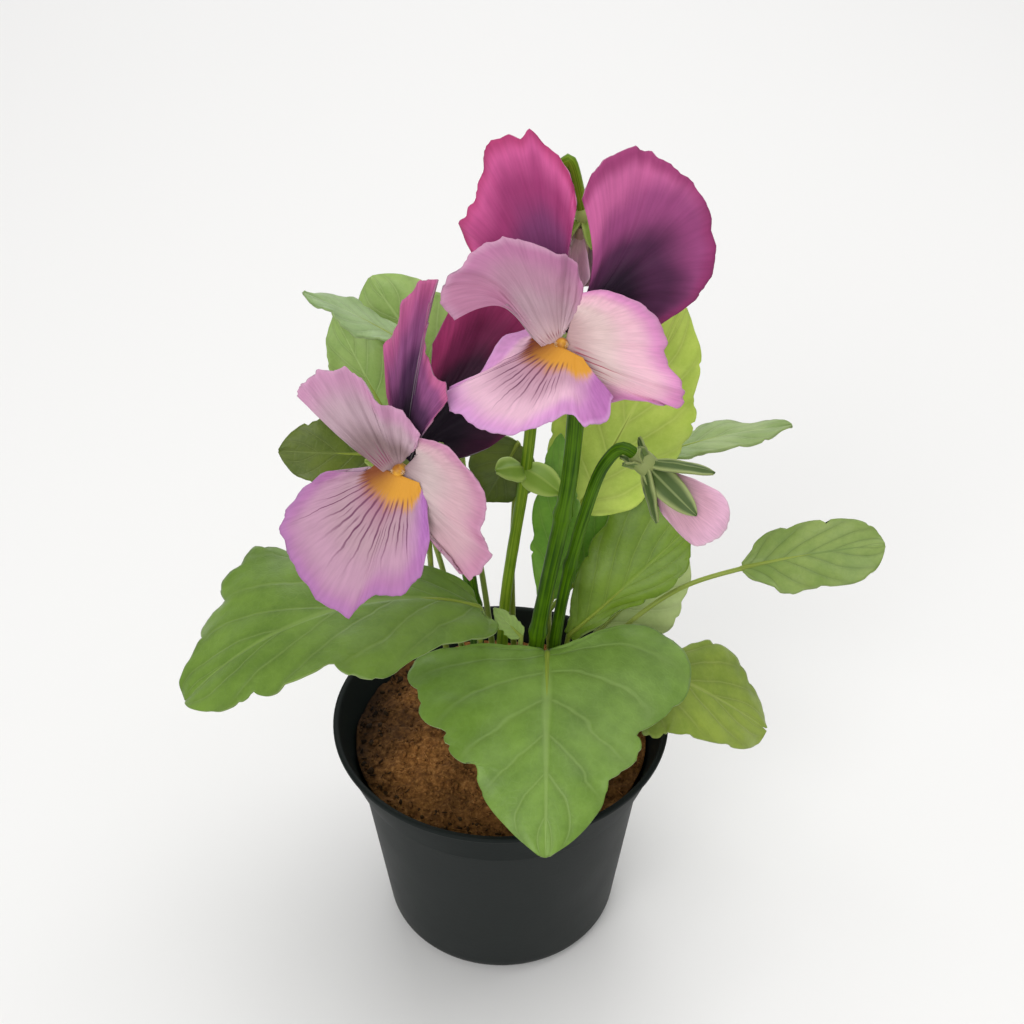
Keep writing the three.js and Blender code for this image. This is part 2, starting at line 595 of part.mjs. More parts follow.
bud("bud_1", {
  base: [37, -2, 150.5], tip: [52.5, -8, 137.5], girth: 13, wraps: [250, 130, 10],
  stem: {
    foot: [13, 6], via: [[15, 4, 98], [21, 2, 135], [25.5, 1, 151], [29.5, 0, 156]], radius: 1.6,
    sepals: [
      { turn: 20, spread: 55, length: 17, width: 3.6 },
      { turn: 95, spread: 36, length: 14, width: 4 },
      { turn: 165, spread: 42, length: 12, width: 4 },
      { turn: 235, spread: 42, length: 12, width: 4 },
      { turn: 305, spread: 36, length: 14, width: 4 },
      { turn: 50, spread: 150, length: 6, width: 3 },
      { turn: 170, spread: 150, length: 6, width: 3 },
      { turn: 290, spread: 150, length: 6, width: 3 },
    ],
  },
});
bud("bud_2", {
  base: [19, 14, 207], tip: [18, 11, 193], girth: 8.5, wraps: [200, 20],
  stem: {
    foot: [0, 6], radius: 1.5,
    via: [[1, 7.5, 99], [7, 8, 150], [10, 13, 190], [13, 15, 216], [15.5, 15.5, 223]],
    sepals: [
      { turn: 45, spread: 35, length: 8, width: 3 },
      { turn: 135, spread: 35, length: 8, width: 3 },
      { turn: 225, spread: 35, length: 8, width: 3 },
      { turn: 315, spread: 35, length: 8, width: 3 },
    ],
    bracts: [
      { from: [6, 7, 145], to: [15, 2, 141], facing: [0.2, -0.6, 1], width: 6, arch: 40, roll: 20 },
      { from: [6, 7, 145], to: [-1, 2, 148], facing: [-0.2, -0.6, 1], width: 5, arch: 40, roll: 20 },
    ],
  },
});

// ---------------------------------------------------------------- pot and soil

function lathe(profile, sides) {
  const around = new THREE.LatheGeometry(profile.map((p) => new THREE.Vector2(...p)), sides);
  return solid(around.rotateX(Math.PI / 2));
}

// The radius of the tapered body at a height, and the two profiles that share it.
const bandFoot = POT_HEIGHT - BAND_HEIGHT;
const bodyRadius = (z) => THREE.MathUtils.lerp(BASE_RADIUS, BODY_TOP_RADIUS, z / bandFoot);
const footRadius = bodyRadius(BASE_ROUNDING) - BASE_ROUNDING;
const outside = [
  [0, 0],
  ...[0, 20, 45, 70, 90].map((a) => [
    footRadius + BASE_ROUNDING * Math.sin(degrees(a)),
    BASE_ROUNDING * (1 - Math.cos(degrees(a))),
  ]),
  [BODY_TOP_RADIUS, bandFoot],
  [BODY_TOP_RADIUS + BAND_STEP, bandFoot + 0.6],
  [RIM_RADIUS - 0.6, POT_HEIGHT - 1.8],
  [RIM_RADIUS, POT_HEIGHT - 1.3],
  [RIM_RADIUS, POT_HEIGHT],
];
const inside = [
  [0, WALL],
  [footRadius, WALL],
  [bodyRadius(0) - 4.2, 4],
  [bodyRadius(BASE_ROUNDING) - WALL, BASE_ROUNDING],
  [BODY_TOP_RADIUS - WALL, bandFoot],
  [BODY_TOP_RADIUS + BAND_STEP - WALL, bandFoot + 0.9],
  [RIM_RADIUS - WALL, POT_HEIGHT],
];
piece("pot", lathe([...outside, ...inside.toReversed()], 40), MATERIALS.pot);

// The soil follows the inside of the pot, is heaped a little round the stems, and has a plain hole
// for each stalk.
const heapRadius = BODY_TOP_RADIUS + BAND_STEP - WALL + 0.6;
const heap = [1, 0.8, 0.55, 0.28, 0].map((share) => [
  heapRadius * share,
  SOIL_LEVEL + SOIL_CROWN * Math.cos((share * Math.PI) / 2),
]);
const bed = inside.slice(1, 6).map(([r, z]) => [r - GAP, z + GAP / 2]);
const soilBody = holes.reduce((body, [x, y, r]) => {
  const hole = new THREE.CylinderGeometry(r + GAP, r + GAP, 30, 8).rotateX(Math.PI / 2);
  return body.subtract(solid(hole.translate(x, y, STEM_FOOT - GAP + 15)));
}, lathe([[0, WALL + GAP / 2], ...bed, ...heap], 28));
piece("soil", soilBody, MATERIALS.soil);

export default plant;
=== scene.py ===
"""A young pansy with two open blooms and two drooping buds, in a round nursery pot of soil.

Lengths are in millimetres and MM turns them into metres. The lamps, the paper sweep and the
patterns in the materials are in metres.
"""

from math import ceil, cos, exp, hypot, pi, radians, sin
from random import Random

import bmesh
import bpy
from mathutils import Matrix, Quaternion, Vector, noise


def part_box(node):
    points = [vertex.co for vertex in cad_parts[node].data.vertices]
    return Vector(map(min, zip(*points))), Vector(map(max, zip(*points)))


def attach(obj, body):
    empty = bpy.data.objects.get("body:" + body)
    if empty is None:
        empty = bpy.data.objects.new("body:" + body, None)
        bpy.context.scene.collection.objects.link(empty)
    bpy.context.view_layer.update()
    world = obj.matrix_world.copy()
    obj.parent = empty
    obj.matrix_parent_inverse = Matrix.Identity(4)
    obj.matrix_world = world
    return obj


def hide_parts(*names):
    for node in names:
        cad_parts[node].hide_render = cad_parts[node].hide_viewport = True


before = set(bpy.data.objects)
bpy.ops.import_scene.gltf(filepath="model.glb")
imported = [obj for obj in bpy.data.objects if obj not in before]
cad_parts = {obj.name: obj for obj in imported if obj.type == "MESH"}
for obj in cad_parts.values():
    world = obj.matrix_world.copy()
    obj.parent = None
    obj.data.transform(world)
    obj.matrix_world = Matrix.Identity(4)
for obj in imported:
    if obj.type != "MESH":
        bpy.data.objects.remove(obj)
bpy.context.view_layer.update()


# ------------------------------------------------------------------ camera, light and floor
# A portrait view from the front, looking down on the plant at about 37 degrees, on a seamless
# white paper sweep under three large soft boxes.

MM = 0.001
LOOK_DOWN = 37.1
PLANT_MIDDLE = Vector((0, 0, 0.11))
SWEEP_SIZE = 4.0

camera = bpy.data.objects.new("camera", bpy.data.cameras.new("camera"))
camera.data.lens = 59.77
camera.data.sensor_width = 36.0
camera.data.clip_start = 0.01
camera.location = Vector((3, -332, 388)) * MM
camera.rotation_euler = (radians(90 - LOOK_DOWN), 0, 0)
bpy.context.collection.objects.link(camera)
bpy.context.scene.camera = camera
bpy.context.scene.view_settings.view_transform = "Standard"


def soft_box(name, place, size, power, colour):
    lamp = bpy.data.objects.new(name, bpy.data.lights.new(name, "AREA"))
    lamp.data.shape = "SQUARE"
    lamp.data.size = size
    lamp.data.energy = power
    lamp.data.color = colour
    lamp.location = place
    lamp.rotation_euler = (PLANT_MIDDLE - Vector(place)).to_track_quat("-Z", "Y").to_euler()
    bpy.context.collection.objects.link(lamp)


soft_box("key_box", (0.25, 0.2, 1.1), 0.9, 5.2, (1.0, 0.99, 0.975))
soft_box("front_box", (-0.4, -1.0, 0.8), 0.8, 7.5, (1.0, 0.99, 0.98))
soft_box("back_box", (-0.1, 1.5, 0.9), 1.0, 6.2, (1.0, 1.0, 1.0))

world = bpy.data.worlds.new("studio")
world.use_nodes = True
world.node_tree.nodes["Background"].inputs["Color"].default_value = (1.0, 0.995, 0.99, 1)
world.node_tree.nodes["Background"].inputs["Strength"].default_value = 0.50
bpy.context.scene.world = world

sweep_bm = bmesh.new()
bmesh.ops.create_grid(sweep_bm, x_segments=1, y_segments=1, size=SWEEP_SIZE / 2)
sweep_mesh = bpy.data.meshes.new("paper_sweep")
sweep_bm.to_mesh(sweep_mesh)
sweep_bm.free()
sweep = bpy.data.objects.new("paper_sweep", sweep_mesh)
bpy.context.collection.objects.link(sweep)
paper = bpy.data.materials.new("white_paper")
paper.use_nodes = True
paper.node_tree.nodes["Principled BSDF"].inputs["Base Color"].default_value = (0.86, 0.86, 0.857, 1)
paper.node_tree.nodes["Principled BSDF"].inputs["Roughness"].default_value = 0.8
sweep_mesh.materials.append(paper)


# ------------------------------------------------------------------ pot
# A thin-walled nursery pot, moulded in black polypropylene: a tapered body with a rounded foot
# and a deep band at the rim. It is turned from one wall section, with every corner eased.

pot_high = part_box("pot")[1]
POT_HEIGHT = pot_high.z / MM
RIM_RADIUS = pot_high.x / MM
POT_WALL = 1.5
FOOT_RADIUS = 31.5
SHOULDER_RADIUS = 38.6
BAND_HEIGHT = 14.0
BAND_STEP = 1.6
FOOT_ROUNDING = 6.0
CORNER_ROUNDING = 0.7
CORNER_STEPS = 5
POT_SPOKES = 128
BODY_GLOSS, BAND_GLOSS = 0.21, 0.06
BAND_FOOT = POT_HEIGHT - BAND_HEIGHT


def finished_piece(name, bm, materials, slot, *nodes):
    """One smooth piece from a bmesh in metres, riding on the pot's body."""
    mesh = bpy.data.meshes.new(name)
    bm.to_mesh(mesh)
    bm.free()
    for material in materials:
        mesh.materials.append(material)
    piece = bpy.data.objects.new(name, mesh)
    bpy.context.collection.objects.link(piece)
    for face in mesh.polygons:
        face.use_smooth = True
    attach(piece, "root")
    if nodes:
        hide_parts(*nodes)


def turned(bm, section, steps):
    """Turns a closed section of (radius, height) about the pot's axis."""
    corners = [bm.verts.new((r * MM, 0, z * MM)) for r, z in section]
    wire = [bm.edges.new(pair) for pair in zip(corners, corners[1:])]
    bmesh.ops.spin(
        bm, geom=corners + wire, cent=(0, 0, 0), axis=(0, 0, 1),
        angle=2 * pi, steps=steps, use_merge=True,
    )
    bmesh.ops.remove_doubles(bm, verts=bm.verts[:], dist=1e-6)
    bmesh.ops.dissolve_degenerate(bm, edges=bm.edges[:], dist=1e-7)
    bmesh.ops.recalc_face_normals(bm, faces=bm.faces[:])


def wall_radius(z):
    """Outer radius of the tapered body at a height."""
    return FOOT_RADIUS + (SHOULDER_RADIUS - FOOT_RADIUS) * z / BAND_FOOT


def eased(corners):
    """A section with its inner corners rounded."""
    path = [corners[0]]
    for before, corner, after in zip(corners, corners[1:], corners[2:]):
        here = Vector(corner)
        back = Vector(before) - here
        ahead = Vector(after) - here
        reach = min(CORNER_ROUNDING, back.length / 2.2, ahead.length / 2.2)
        first = here + back.normalized() * reach
        last = here + ahead.normalized() * reach
        for k in range(CORNER_STEPS + 1):
            t = k / CORNER_STEPS
            path.append(tuple(first.lerp(here, t).lerp(here.lerp(last, t), t)))
    path.append(corners[-1])
    return path


foot_flat = wall_radius(FOOT_ROUNDING) - FOOT_ROUNDING
wall_section = [(0, 0), (foot_flat, 0)]
wall_section += [
    (foot_flat + FOOT_ROUNDING * sin(radians(a)), FOOT_ROUNDING * (1 - cos(radians(a))))
    for a in range(8, 92, 7)
]
wall_section += eased([
    (SHOULDER_RADIUS, BAND_FOOT - 0.3),
    (SHOULDER_RADIUS, BAND_FOOT),
    (SHOULDER_RADIUS + BAND_STEP, BAND_FOOT + 0.6),
    (RIM_RADIUS - 0.7, POT_HEIGHT - 1.9),
    (RIM_RADIUS, POT_HEIGHT - 1.3),
    (RIM_RADIUS, POT_HEIGHT),
    (RIM_RADIUS - POT_WALL, POT_HEIGHT),
    (SHOULDER_RADIUS + BAND_STEP - POT_WALL, BAND_FOOT + 0.9),
    (SHOULDER_RADIUS - POT_WALL, BAND_FOOT),
    (wall_radius(FOOT_ROUNDING) - POT_WALL, FOOT_ROUNDING),
    (wall_radius(0) - 4.2, 4),
    (foot_flat, POT_WALL),
])
wall_section += [(0, POT_WALL)]

pot_bm = bmesh.new()
turned(pot_bm, wall_section, POT_SPOKES)


def add_node(tree, kind, settings, inputs):
    """A new shader node; each of its inputs takes a value or another node's output."""
    made = tree.nodes.new(kind)
    for key, value in settings.items():
        setattr(made, key, value)
    for key, value in inputs.items():
        if isinstance(value, bpy.types.NodeSocket):
            tree.links.new(value, made.inputs[key])
        else:
            made.inputs[key].default_value = value
    return made


def maths(tree, operation, *values):
    inputs = dict(enumerate(values))
    return add_node(tree, "ShaderNodeMath", {"operation": operation}, inputs).outputs[0]


def mixed(tree, share, first, second):
    """Two colours mixed by a share from 0 to 1."""
    first, second = [(*tone, 1) if isinstance(tone, tuple) else tone for tone in (first, second)]
    inputs = {"Factor": share, "A": first, "B": second}
    return add_node(tree, "ShaderNodeMix", {"data_type": "RGBA"}, inputs).outputs["Result"]


def ramped(tree, value, low, high, start=0.0, end=1.0, step="SMOOTHSTEP"):
    """A step from start to end while the value goes from low to high, soft unless it is LINEAR."""
    inputs = {"Value": value, "From Min": low, "From Max": high, "To Min": start, "To Max": end}
    return add_node(tree, "ShaderNodeMapRange", {"interpolation_type": step}, inputs).outputs["Result"]


def noisy(tree, vector, scale, detail=3.0, roughness=0.5):
    inputs = {"Vector": vector, "Scale": scale, "Detail": detail, "Roughness": roughness}
    return add_node(tree, "ShaderNodeTexNoise", {}, inputs).outputs["Fac"]


def embossed(tree, shader, height, strength, depth):
    """Gives a finish its fine relief from a pattern of heights."""
    inputs = {"Strength": strength, "Distance": depth, "Height": height}
    relief = add_node(tree, "ShaderNodeBump", {}, inputs)
    tree.links.new(relief.outputs["Normal"], shader.inputs["Normal"])


def new_finish(name, roughness=0.5, specular=0.5):
    """A material with its node tree, its shader and its object coordinates."""
    made = bpy.data.materials.new(name)
    made.use_nodes = True
    tree = made.node_tree
    shader = tree.nodes["Principled BSDF"]
    shader.inputs["Roughness"].default_value = roughness
    shader.inputs["Specular IOR Level"].default_value = specular
    return made, tree, shader, tree.nodes.new("ShaderNodeTexCoord").outputs["Object"]


plastic, tree, shader, place = new_finish("black_pot_plastic")
scuff = noisy(tree, place, 55.0, 6.0)
grain = noisy(tree, place, 900.0, 2.0)
height = add_node(tree, "ShaderNodeSeparateXYZ", {}, {"Vector": place}).outputs["Z"]
gloss = ramped(
    tree, height, (BAND_FOOT - 0.4) * MM, (BAND_FOOT + 1.2) * MM, BODY_GLOSS, BAND_GLOSS, "LINEAR",
)
tone = mixed(tree, scuff, (0.0085, 0.0115, 0.0110), (0.0128, 0.0162, 0.0152))
tree.links.new(gloss, shader.inputs["Specular IOR Level"])
tree.links.new(ramped(tree, scuff, 0.0, 1.0, 0.42, 0.62, "LINEAR"), shader.inputs["Roughness"])
tree.links.new(tone, shader.inputs["Base Color"])
embossed(tree, shader, grain, 0.12, 0.0002)

finished_piece("nursery_pot", pot_bm, [plastic], "pot", "pot")


# ------------------------------------------------------------------ soil
# Brown coir and peat in darker and lighter patches, with painted shade towards the left wall, heaped a
# little round the stems: a filled body with a lumpy top, loose crumbs and short fibres, and flakes of bark
# along that wall.

SOIL_FOOT = 45
SOIL_LEVEL = 61.0
SOIL_CROWN = 3.5
SOIL_RINGS = 74
SOIL_SPOKES = 200
soil_radius = SHOULDER_RADIUS + BAND_STEP - POT_WALL + 0.6
LOOSE_RADIUS = soil_radius - 0.8
CRUMBS, BIG_SHARE, BIG_EXTRA = 1700, 0.07, 0.9
WALL_FLAKES, LOOSE_FLAKES = 100, 14
FIBRES = 150
COIR_BROWNS = (
    (0.0, (0.030, 0.011, 0.003)), (0.40, (0.140, 0.056, 0.014)),
    (0.58, (0.270, 0.118, 0.032)), (0.80, (0.480, 0.250, 0.090)),
)


def soil_top(x, y):
    """Height of the soil, with clods a few millimetres wide and grains of about one."""
    share = min(1.0, hypot(x, y) / soil_radius)
    spot = Vector((x, y, 0))
    clods = noise.noise(spot * 0.16) * 1.3 + noise.noise(spot * 0.42 + Vector((7, 3, 1))) * 0.8
    grains = noise.noise(spot * 1.25 + Vector((1, 9, 4))) * 0.42
    return SOIL_LEVEL - 0.6 + SOIL_CROWN * cos(share * pi / 2) + clods + grains


soil_bm = bmesh.new()
bed = [
    (0, SOIL_FOOT), (wall_radius(SOIL_FOOT) - 2.2, SOIL_FOOT),
    (SHOULDER_RADIUS - 2.1, BAND_FOOT), (soil_radius - 1.2, BAND_FOOT + 1.5),
]
heap = [(soil_radius * (1 - k / SOIL_RINGS), SOIL_LEVEL) for k in range(SOIL_RINGS)]
turned(soil_bm, bed + heap + [(0, SOIL_LEVEL)], SOIL_SPOKES)
for vert in soil_bm.verts:
    if vert.co.z > (SOIL_LEVEL - 0.01) * MM:
        vert.co.z = soil_top(vert.co.x / MM, vert.co.y / MM) * MM


def coloured(tree, share, stops, blend="LINEAR"):
    """A run of colours along a share from 0 to 1."""
    ramp = add_node(tree, "ShaderNodeValToRGB", {}, {"Fac": share})
    ramp.color_ramp.interpolation = blend
    marks = ramp.color_ramp.elements
    for stop, colour in stops:
        marks.new(stop).color = (*colour, 1)
    marks.remove(marks[0])
    marks.remove(marks[-1])
    return ramp.outputs["Color"]


def shaded(tree, colour, scale):
    """A colour made darker or brighter by a scale."""
    inputs = {0: colour, "Scale": scale}
    return add_node(tree, "ShaderNodeVectorMath", {"operation": "SCALE"}, inputs).outputs["Vector"]


def soil_skin(name, tones=(1, 1, 1)):
    """Rough speckled coir in darker and lighter patches, with painted shade darkening its left side. The
    tones scale its browns.
    """
    skin, tree, shader, place = new_finish(name, 0.95, 0.2)
    speckle = noisy(tree, place, 760.0, 4.0, 0.65)
    browns = coloured(tree, speckle, [
        (stop, [c * tone for c, tone in zip(brown, tones)]) for stop, brown in COIR_BROWNS
    ])
    patches = noisy(tree, place, 45.0, 3.0)
    damp = ramped(tree, patches, 0.35, 0.65, 0.62, 1.15, "LINEAR")
    rightward = add_node(tree, "ShaderNodeSeparateXYZ", {}, {"Vector": place}).outputs["X"]
    ragged = maths(tree, "MULTIPLY_ADD", patches, 0.020, rightward)
    # painted shade: the soil is made darker towards the left wall of the pot
    wall_shade = ramped(tree, ragged, -0.026, -0.011, 0.17, 1.0, "LINEAR")
    colour = shaded(tree, browns, maths(tree, "MULTIPLY", damp, wall_shade))
    tree.links.new(colour, shader.inputs["Base Color"])
    embossed(tree, shader, speckle, 0.7, 0.0004)
    return skin


coir = soil_skin("coir_and_peat")
bark = soil_skin("dark_bark", (0.3, 0.34, 0.42))
straw = soil_skin("coir_fibre", (1.7, 1.8, 2.0))

finished_piece("soil_bed", soil_bm, [coir], "soil", "soil")


def scattered(draw, inner=0.0, outer=1.0):
    """An even random place on the soil, between two shares of its radius."""
    r = LOOSE_RADIUS * (inner ** 2 + (outer ** 2 - inner ** 2) * draw.random()) ** 0.5
    a = draw.uniform(0, 2 * pi)
    return r * cos(a), r * sin(a)


def crumb(bm, draw, x, y, size, squash):
    """One rough grain, whose middle lies a sixth of its size above the soil."""
    lump = bmesh.ops.create_icosphere(bm, subdivisions=1, radius=size / 2 * MM)
    turn = Quaternion(Vector((draw.random(), draw.random(), draw.random())), draw.uniform(0, 6))
    spot = Vector((x, y, soil_top(x, y) + size * 0.16)) * MM
    for vert in lump["verts"]:
        rough = vert.co * draw.uniform(0.72, 1.18)
        rough.z *= squash
        vert.co = turn @ rough + spot


draw = Random(11)
crumbs_bm = bmesh.new()
for _ in range(CRUMBS):
    x, y = scattered(draw)
    size = draw.uniform(0.45, 1.25) + (draw.random() < BIG_SHARE) * BIG_EXTRA
    crumb(crumbs_bm, draw, x, y, size, squash=0.8)
finished_piece("soil_crumbs", crumbs_bm, [coir], "soil")

flakes_bm = bmesh.new()
for _ in range(WALL_FLAKES):
    x, y = scattered(draw, inner=0.84)
    crumb(flakes_bm, draw, -abs(x), y, draw.uniform(0.8, 2.2), squash=0.22)
for _ in range(LOOSE_FLAKES):
    x, y = scattered(draw)
    crumb(flakes_bm, draw, x, y, draw.uniform(0.4, 0.8), squash=0.4)
finished_piece("bark_flakes", flakes_bm, [bark], "soil")

fibres_bm = bmesh.new()
for _ in range(FIBRES):
    x, y = scattered(draw, outer=0.97)
    rod = bmesh.ops.create_cone(
        fibres_bm, cap_ends=True, segments=4, radius1=0.13 * MM, radius2=0.07 * MM,
        depth=draw.uniform(2.5, 6.0) * MM,
    )
    turn = Matrix.Rotation(draw.uniform(0, 2 * pi), 4, "Z")
    lean = Matrix.Rotation(radians(draw.uniform(78, 96)), 4, "X")
    spot = Matrix.Translation(Vector((x, y, soil_top(x, y) + 0.25)) * MM)
    bmesh.ops.transform(fibres_bm, verts=rod["verts"], matrix=spot @ (turn @ lean))
finished_piece("coir_fibres", fibres_bm, [straw], "soil")


# ------------------------------------------------------------------ leaves
# Sixteen leaves, each cut with scalloped edges and standing in the soil on its own petiole. A
# blade is a half-millimetre sheet laid in space by its arch and roll, with a sunken midrib and
# side veins and quilting between them; the petiole runs on under the midrib as a tapering ridge.

STEM_FOOT = 44
BLADE_THICKNESS = 0.5
PETIOLE_RADIUS, PETIOLE_TAPER = 0.9, 0.25
RIDGE_RADIUS, RIDGE_TAPER = 0.85, 0.65
PETIOLE_SIDES = 8
BLADE_CELL = 0.85
PATH_STEP = 1.6
SIDE_VEINS = 6.0
VEIN_LEAN = 1.9
TOOTH_LENGTH = 6.5
TOOTH_DEPTH = 1.2
UNDERSIDE, STALK = 1, 2
DULL_GREEN = (0.30, 0.38, 0.15)
STALK_YELLOW = (0.27, 0.34, 0.03)


def new_skin(name, roughness, sheen, specular=0.42):
    """A finish for living tissue, with the two coordinates that lie on its surface."""
    skin, tree, shader, place = new_finish(name, roughness, specular)
    shader.inputs["Sheen Weight"].default_value = sheen
    shader.inputs["Sheen Roughness"].default_value = 0.4
    flat = add_node(tree, "ShaderNodeUVMap", {"uv_map": "UVMap"}, {}).outputs["UV"]
    parts = add_node(tree, "ShaderNodeSeparateXYZ", {}, {"Vector": flat})
    return skin, tree, shader, place, parts.outputs["X"], parts.outputs["Y"]


def leaf_skin(name, deep, bright, vein, roughness=0.46, net=0.12):
    """Green blade tissue with paler ribs and painted shade beside the side veins: deep and bright mottle it,
    vein colour the ribs, and net is the strength of the finest ones."""
    skin, tree, shader, place, across, along = new_skin(name, roughness, 0.12)
    edge = maths(tree, "ABSOLUTE", maths(tree, "MULTIPLY_ADD", across, 2.0, -1.0))
    drift = maths(tree, "MULTIPLY_ADD", noisy(tree, place, 130.0), 0.22, -0.11)
    row = maths(tree, "MULTIPLY_ADD", along, SIDE_VEINS, drift)
    lean = maths(tree, "MULTIPLY", maths(tree, "POWER", edge, 0.85), VEIN_LEAN)
    row = maths(tree, "SUBTRACT", row, lean)
    gap = maths(tree, "PINGPONG", row, 0.5)
    side = ramped(tree, gap, 0.01, 0.07, 1.0, 0.0)
    side = maths(tree, "MULTIPLY", side, ramped(tree, edge, 0.55, 1.0, 1.0, 0.15))
    rib = ramped(tree, edge, 0.012, 0.05, 1.0, 0.0)
    fine = add_node(
        tree, "ShaderNodeTexVoronoi", {"feature": "DISTANCE_TO_EDGE"},
        {"Vector": place, "Scale": 420.0},
    ).outputs["Distance"]
    web = ramped(tree, fine, 0.02, 0.12, net, 0.0)
    ribs = maths(tree, "MAXIMUM", rib, maths(tree, "MULTIPLY", side, 0.7))
    marks = maths(tree, "MAXIMUM", ribs, web)
    mottle = ramped(tree, noisy(tree, place, 80.0, 7.0, 0.7), 0.3, 0.7)
    tissue = mixed(tree, mottle, deep, bright)
    # painted shade: the tissue is darker along the side veins, in the troughs between the quilted bulges
    tissue = shaded(tree, tissue, ramped(tree, gap, 0.0, 0.3, 0.86, 1.0))
    colour = mixed(tree, maths(tree, "MULTIPLY", marks, 0.5), tissue, vein)
    tree.links.new(colour, shader.inputs["Base Color"])
    grain = noisy(tree, place, 1500.0, 2.0)
    height = maths(tree, "MULTIPLY_ADD", marks, -0.8, maths(tree, "MULTIPLY", grain, 0.35))
    embossed(tree, shader, height, 0.35, 0.0004)
    return skin


def leaf_set(name, deep, bright, vein):
    """The upper skin of a leaf, its paler, duller underside, and its yellowish petiole."""
    pale = [tuple(0.6 * c + 0.4 * d for c, d in zip(tone, DULL_GREEN)) for tone in (deep, bright)]
    stalk = [tuple(0.3 * c + 0.7 * d for c, d in zip(tone, STALK_YELLOW)) for tone in (deep, bright)]
    return [
        leaf_skin(name, deep, bright, vein),
        leaf_skin(name + "_underside", *pale, tuple(1.15 * c for c in vein), roughness=0.7),
        leaf_skin(name + "_petiole", *stalk, stalk[1], roughness=0.45, net=0.0),
    ]


mid_green = leaf_set("leaf_mid_green", (0.116, 0.220, 0.023), (0.178, 0.312, 0.042), (0.26, 0.39, 0.10))
fresh_green = leaf_set("leaf_fresh_green", (0.098, 0.186, 0.014), (0.152, 0.266, 0.026), (0.22, 0.33, 0.07))
yellow_olive = leaf_set("leaf_yellow_olive", (0.175, 0.260, 0.020), (0.270, 0.360, 0.040), (0.34, 0.41, 0.10))
grey_green = leaf_set("leaf_grey_green", (0.160, 0.250, 0.048), (0.240, 0.330, 0.078), (0.10, 0.18, 0.03))
sage_green = leaf_set("leaf_sage_green", (0.190, 0.290, 0.080), (0.280, 0.380, 0.125), (0.33, 0.43, 0.16))
olive = leaf_set("leaf_olive", (0.108, 0.198, 0.008), (0.170, 0.284, 0.016), (0.23, 0.345, 0.040))
pale_green = leaf_set("leaf_pale_green", (0.370, 0.490, 0.160), (0.490, 0.600, 0.240), (0.56, 0.66, 0.30))
yellow_green = leaf_set("leaf_yellow_green", (0.440, 0.610, 0.070), (0.600, 0.750, 0.130), (0.68, 0.80, 0.18))
bright_green = leaf_set("leaf_bright_green", (0.120, 0.310, 0.022), (0.210, 0.430, 0.045), (0.30, 0.50, 0.09))
light_green = leaf_set("leaf_light_green", (0.245, 0.390, 0.088), (0.340, 0.480, 0.135), (0.45, 0.60, 0.22))
blue_green = leaf_set("leaf_blue_green", (0.185, 0.300, 0.100), (0.255, 0.375, 0.140), (0.33, 0.45, 0.19))
dark_olive = leaf_set("leaf_dark_olive", (0.062, 0.100, 0.007), (0.120, 0.166, 0.015), (0.16, 0.21, 0.04))

ROUND_HALF = [
    (-0.02, 0.06), (0, 0.42), (0.1, 0.76), (0.26, 0.9), (0.36, 1), (0.55, 0.96), (0.66, 0.8),
    (0.8, 0.68), (0.93, 0.36), (1, 0.05),
]
LONG_HALF = [
    (0, 0.08), (0.06, 0.5), (0.2, 0.84), (0.31, 0.84), (0.42, 1), (0.57, 0.94), (0.68, 0.72),
    (0.82, 0.6), (0.94, 0.28), (1, 0.05),
]


def cut_edge(marks):
    """A rounded line through the marks of a cut edge, which keeps its inward notches sharp."""
    marks = [Vector(mark) for mark in marks]
    steps = [after - before for before, after in zip(marks, marks[1:])]
    headings = [None]
    for before, after in zip(steps, steps[1:]):
        turn = before.normalized().cross(after.normalized())
        corner = turn > 0.15 or before.dot(after) < 0
        headings.append(None if corner else (before.normalized() + after.normalized()).normalized())
    headings.append(None)

    def at(share):
        here = min(int(share * len(steps)), len(steps) - 1)
        t = share * len(steps) - here
        step = steps[here]
        leave = headings[here] * step.length if headings[here] else None
        arrive = headings[here + 1] * step.length if headings[here + 1] else None
        if leave is None:
            leave = 1.5 * step - 0.5 * arrive if arrive else step
        if arrive is None:
            arrive = 1.5 * step - 0.5 * leave
        bend_out = t * (1 - t) ** 2
        bend_in = -t * t * (1 - t)
        return marks[here] + step * (t * t * (3 - 2 * t)) + leave * bend_out + arrive * bend_in

    return at


def laid(start, end, facing, width, arch, roll, ruffle=0, waves=0):
    """Lays flat points in space. The sheet runs from start to end and its face looks towards
    facing; arch bends it back along its length, roll across its width, ruffle raises the given
    number of waves on its edge, and lift raises a point off the sheet."""
    chord = Vector(end) - Vector(start)
    ahead = chord.normalized()
    face = (Vector(facing) - Vector(facing).dot(ahead) * ahead).normalized()
    side = face.cross(ahead)
    bend = radians(arch)
    curl = radians(roll)
    radius = chord.length / (2 * sin(bend / 2))
    first = ahead * cos(bend / 2) + face * sin(bend / 2)
    rise = face * cos(bend / 2) - ahead * sin(bend / 2)

    def at(x, y, edge, share, lift=0.0):
        wave = lift + ruffle * edge ** 2.5 * sin(2 * pi * waves * share)
        sideways = width / curl * sin(curl * y / 2)
        height = wave - width / curl * (1 - cos(curl * y / 2))
        angle = bend * x
        forward = (radius + height) * sin(angle)
        upward = height * cos(angle) - radius * (1 - cos(angle))
        return Vector(start) + first * forward + rise * upward + side * sideways

    return at


def new_tissue():
    """An empty mesh that keeps the coordinates on its surface."""
    bm = bmesh.new()
    bm.loops.layers.uv.new("UVMap")
    return bm


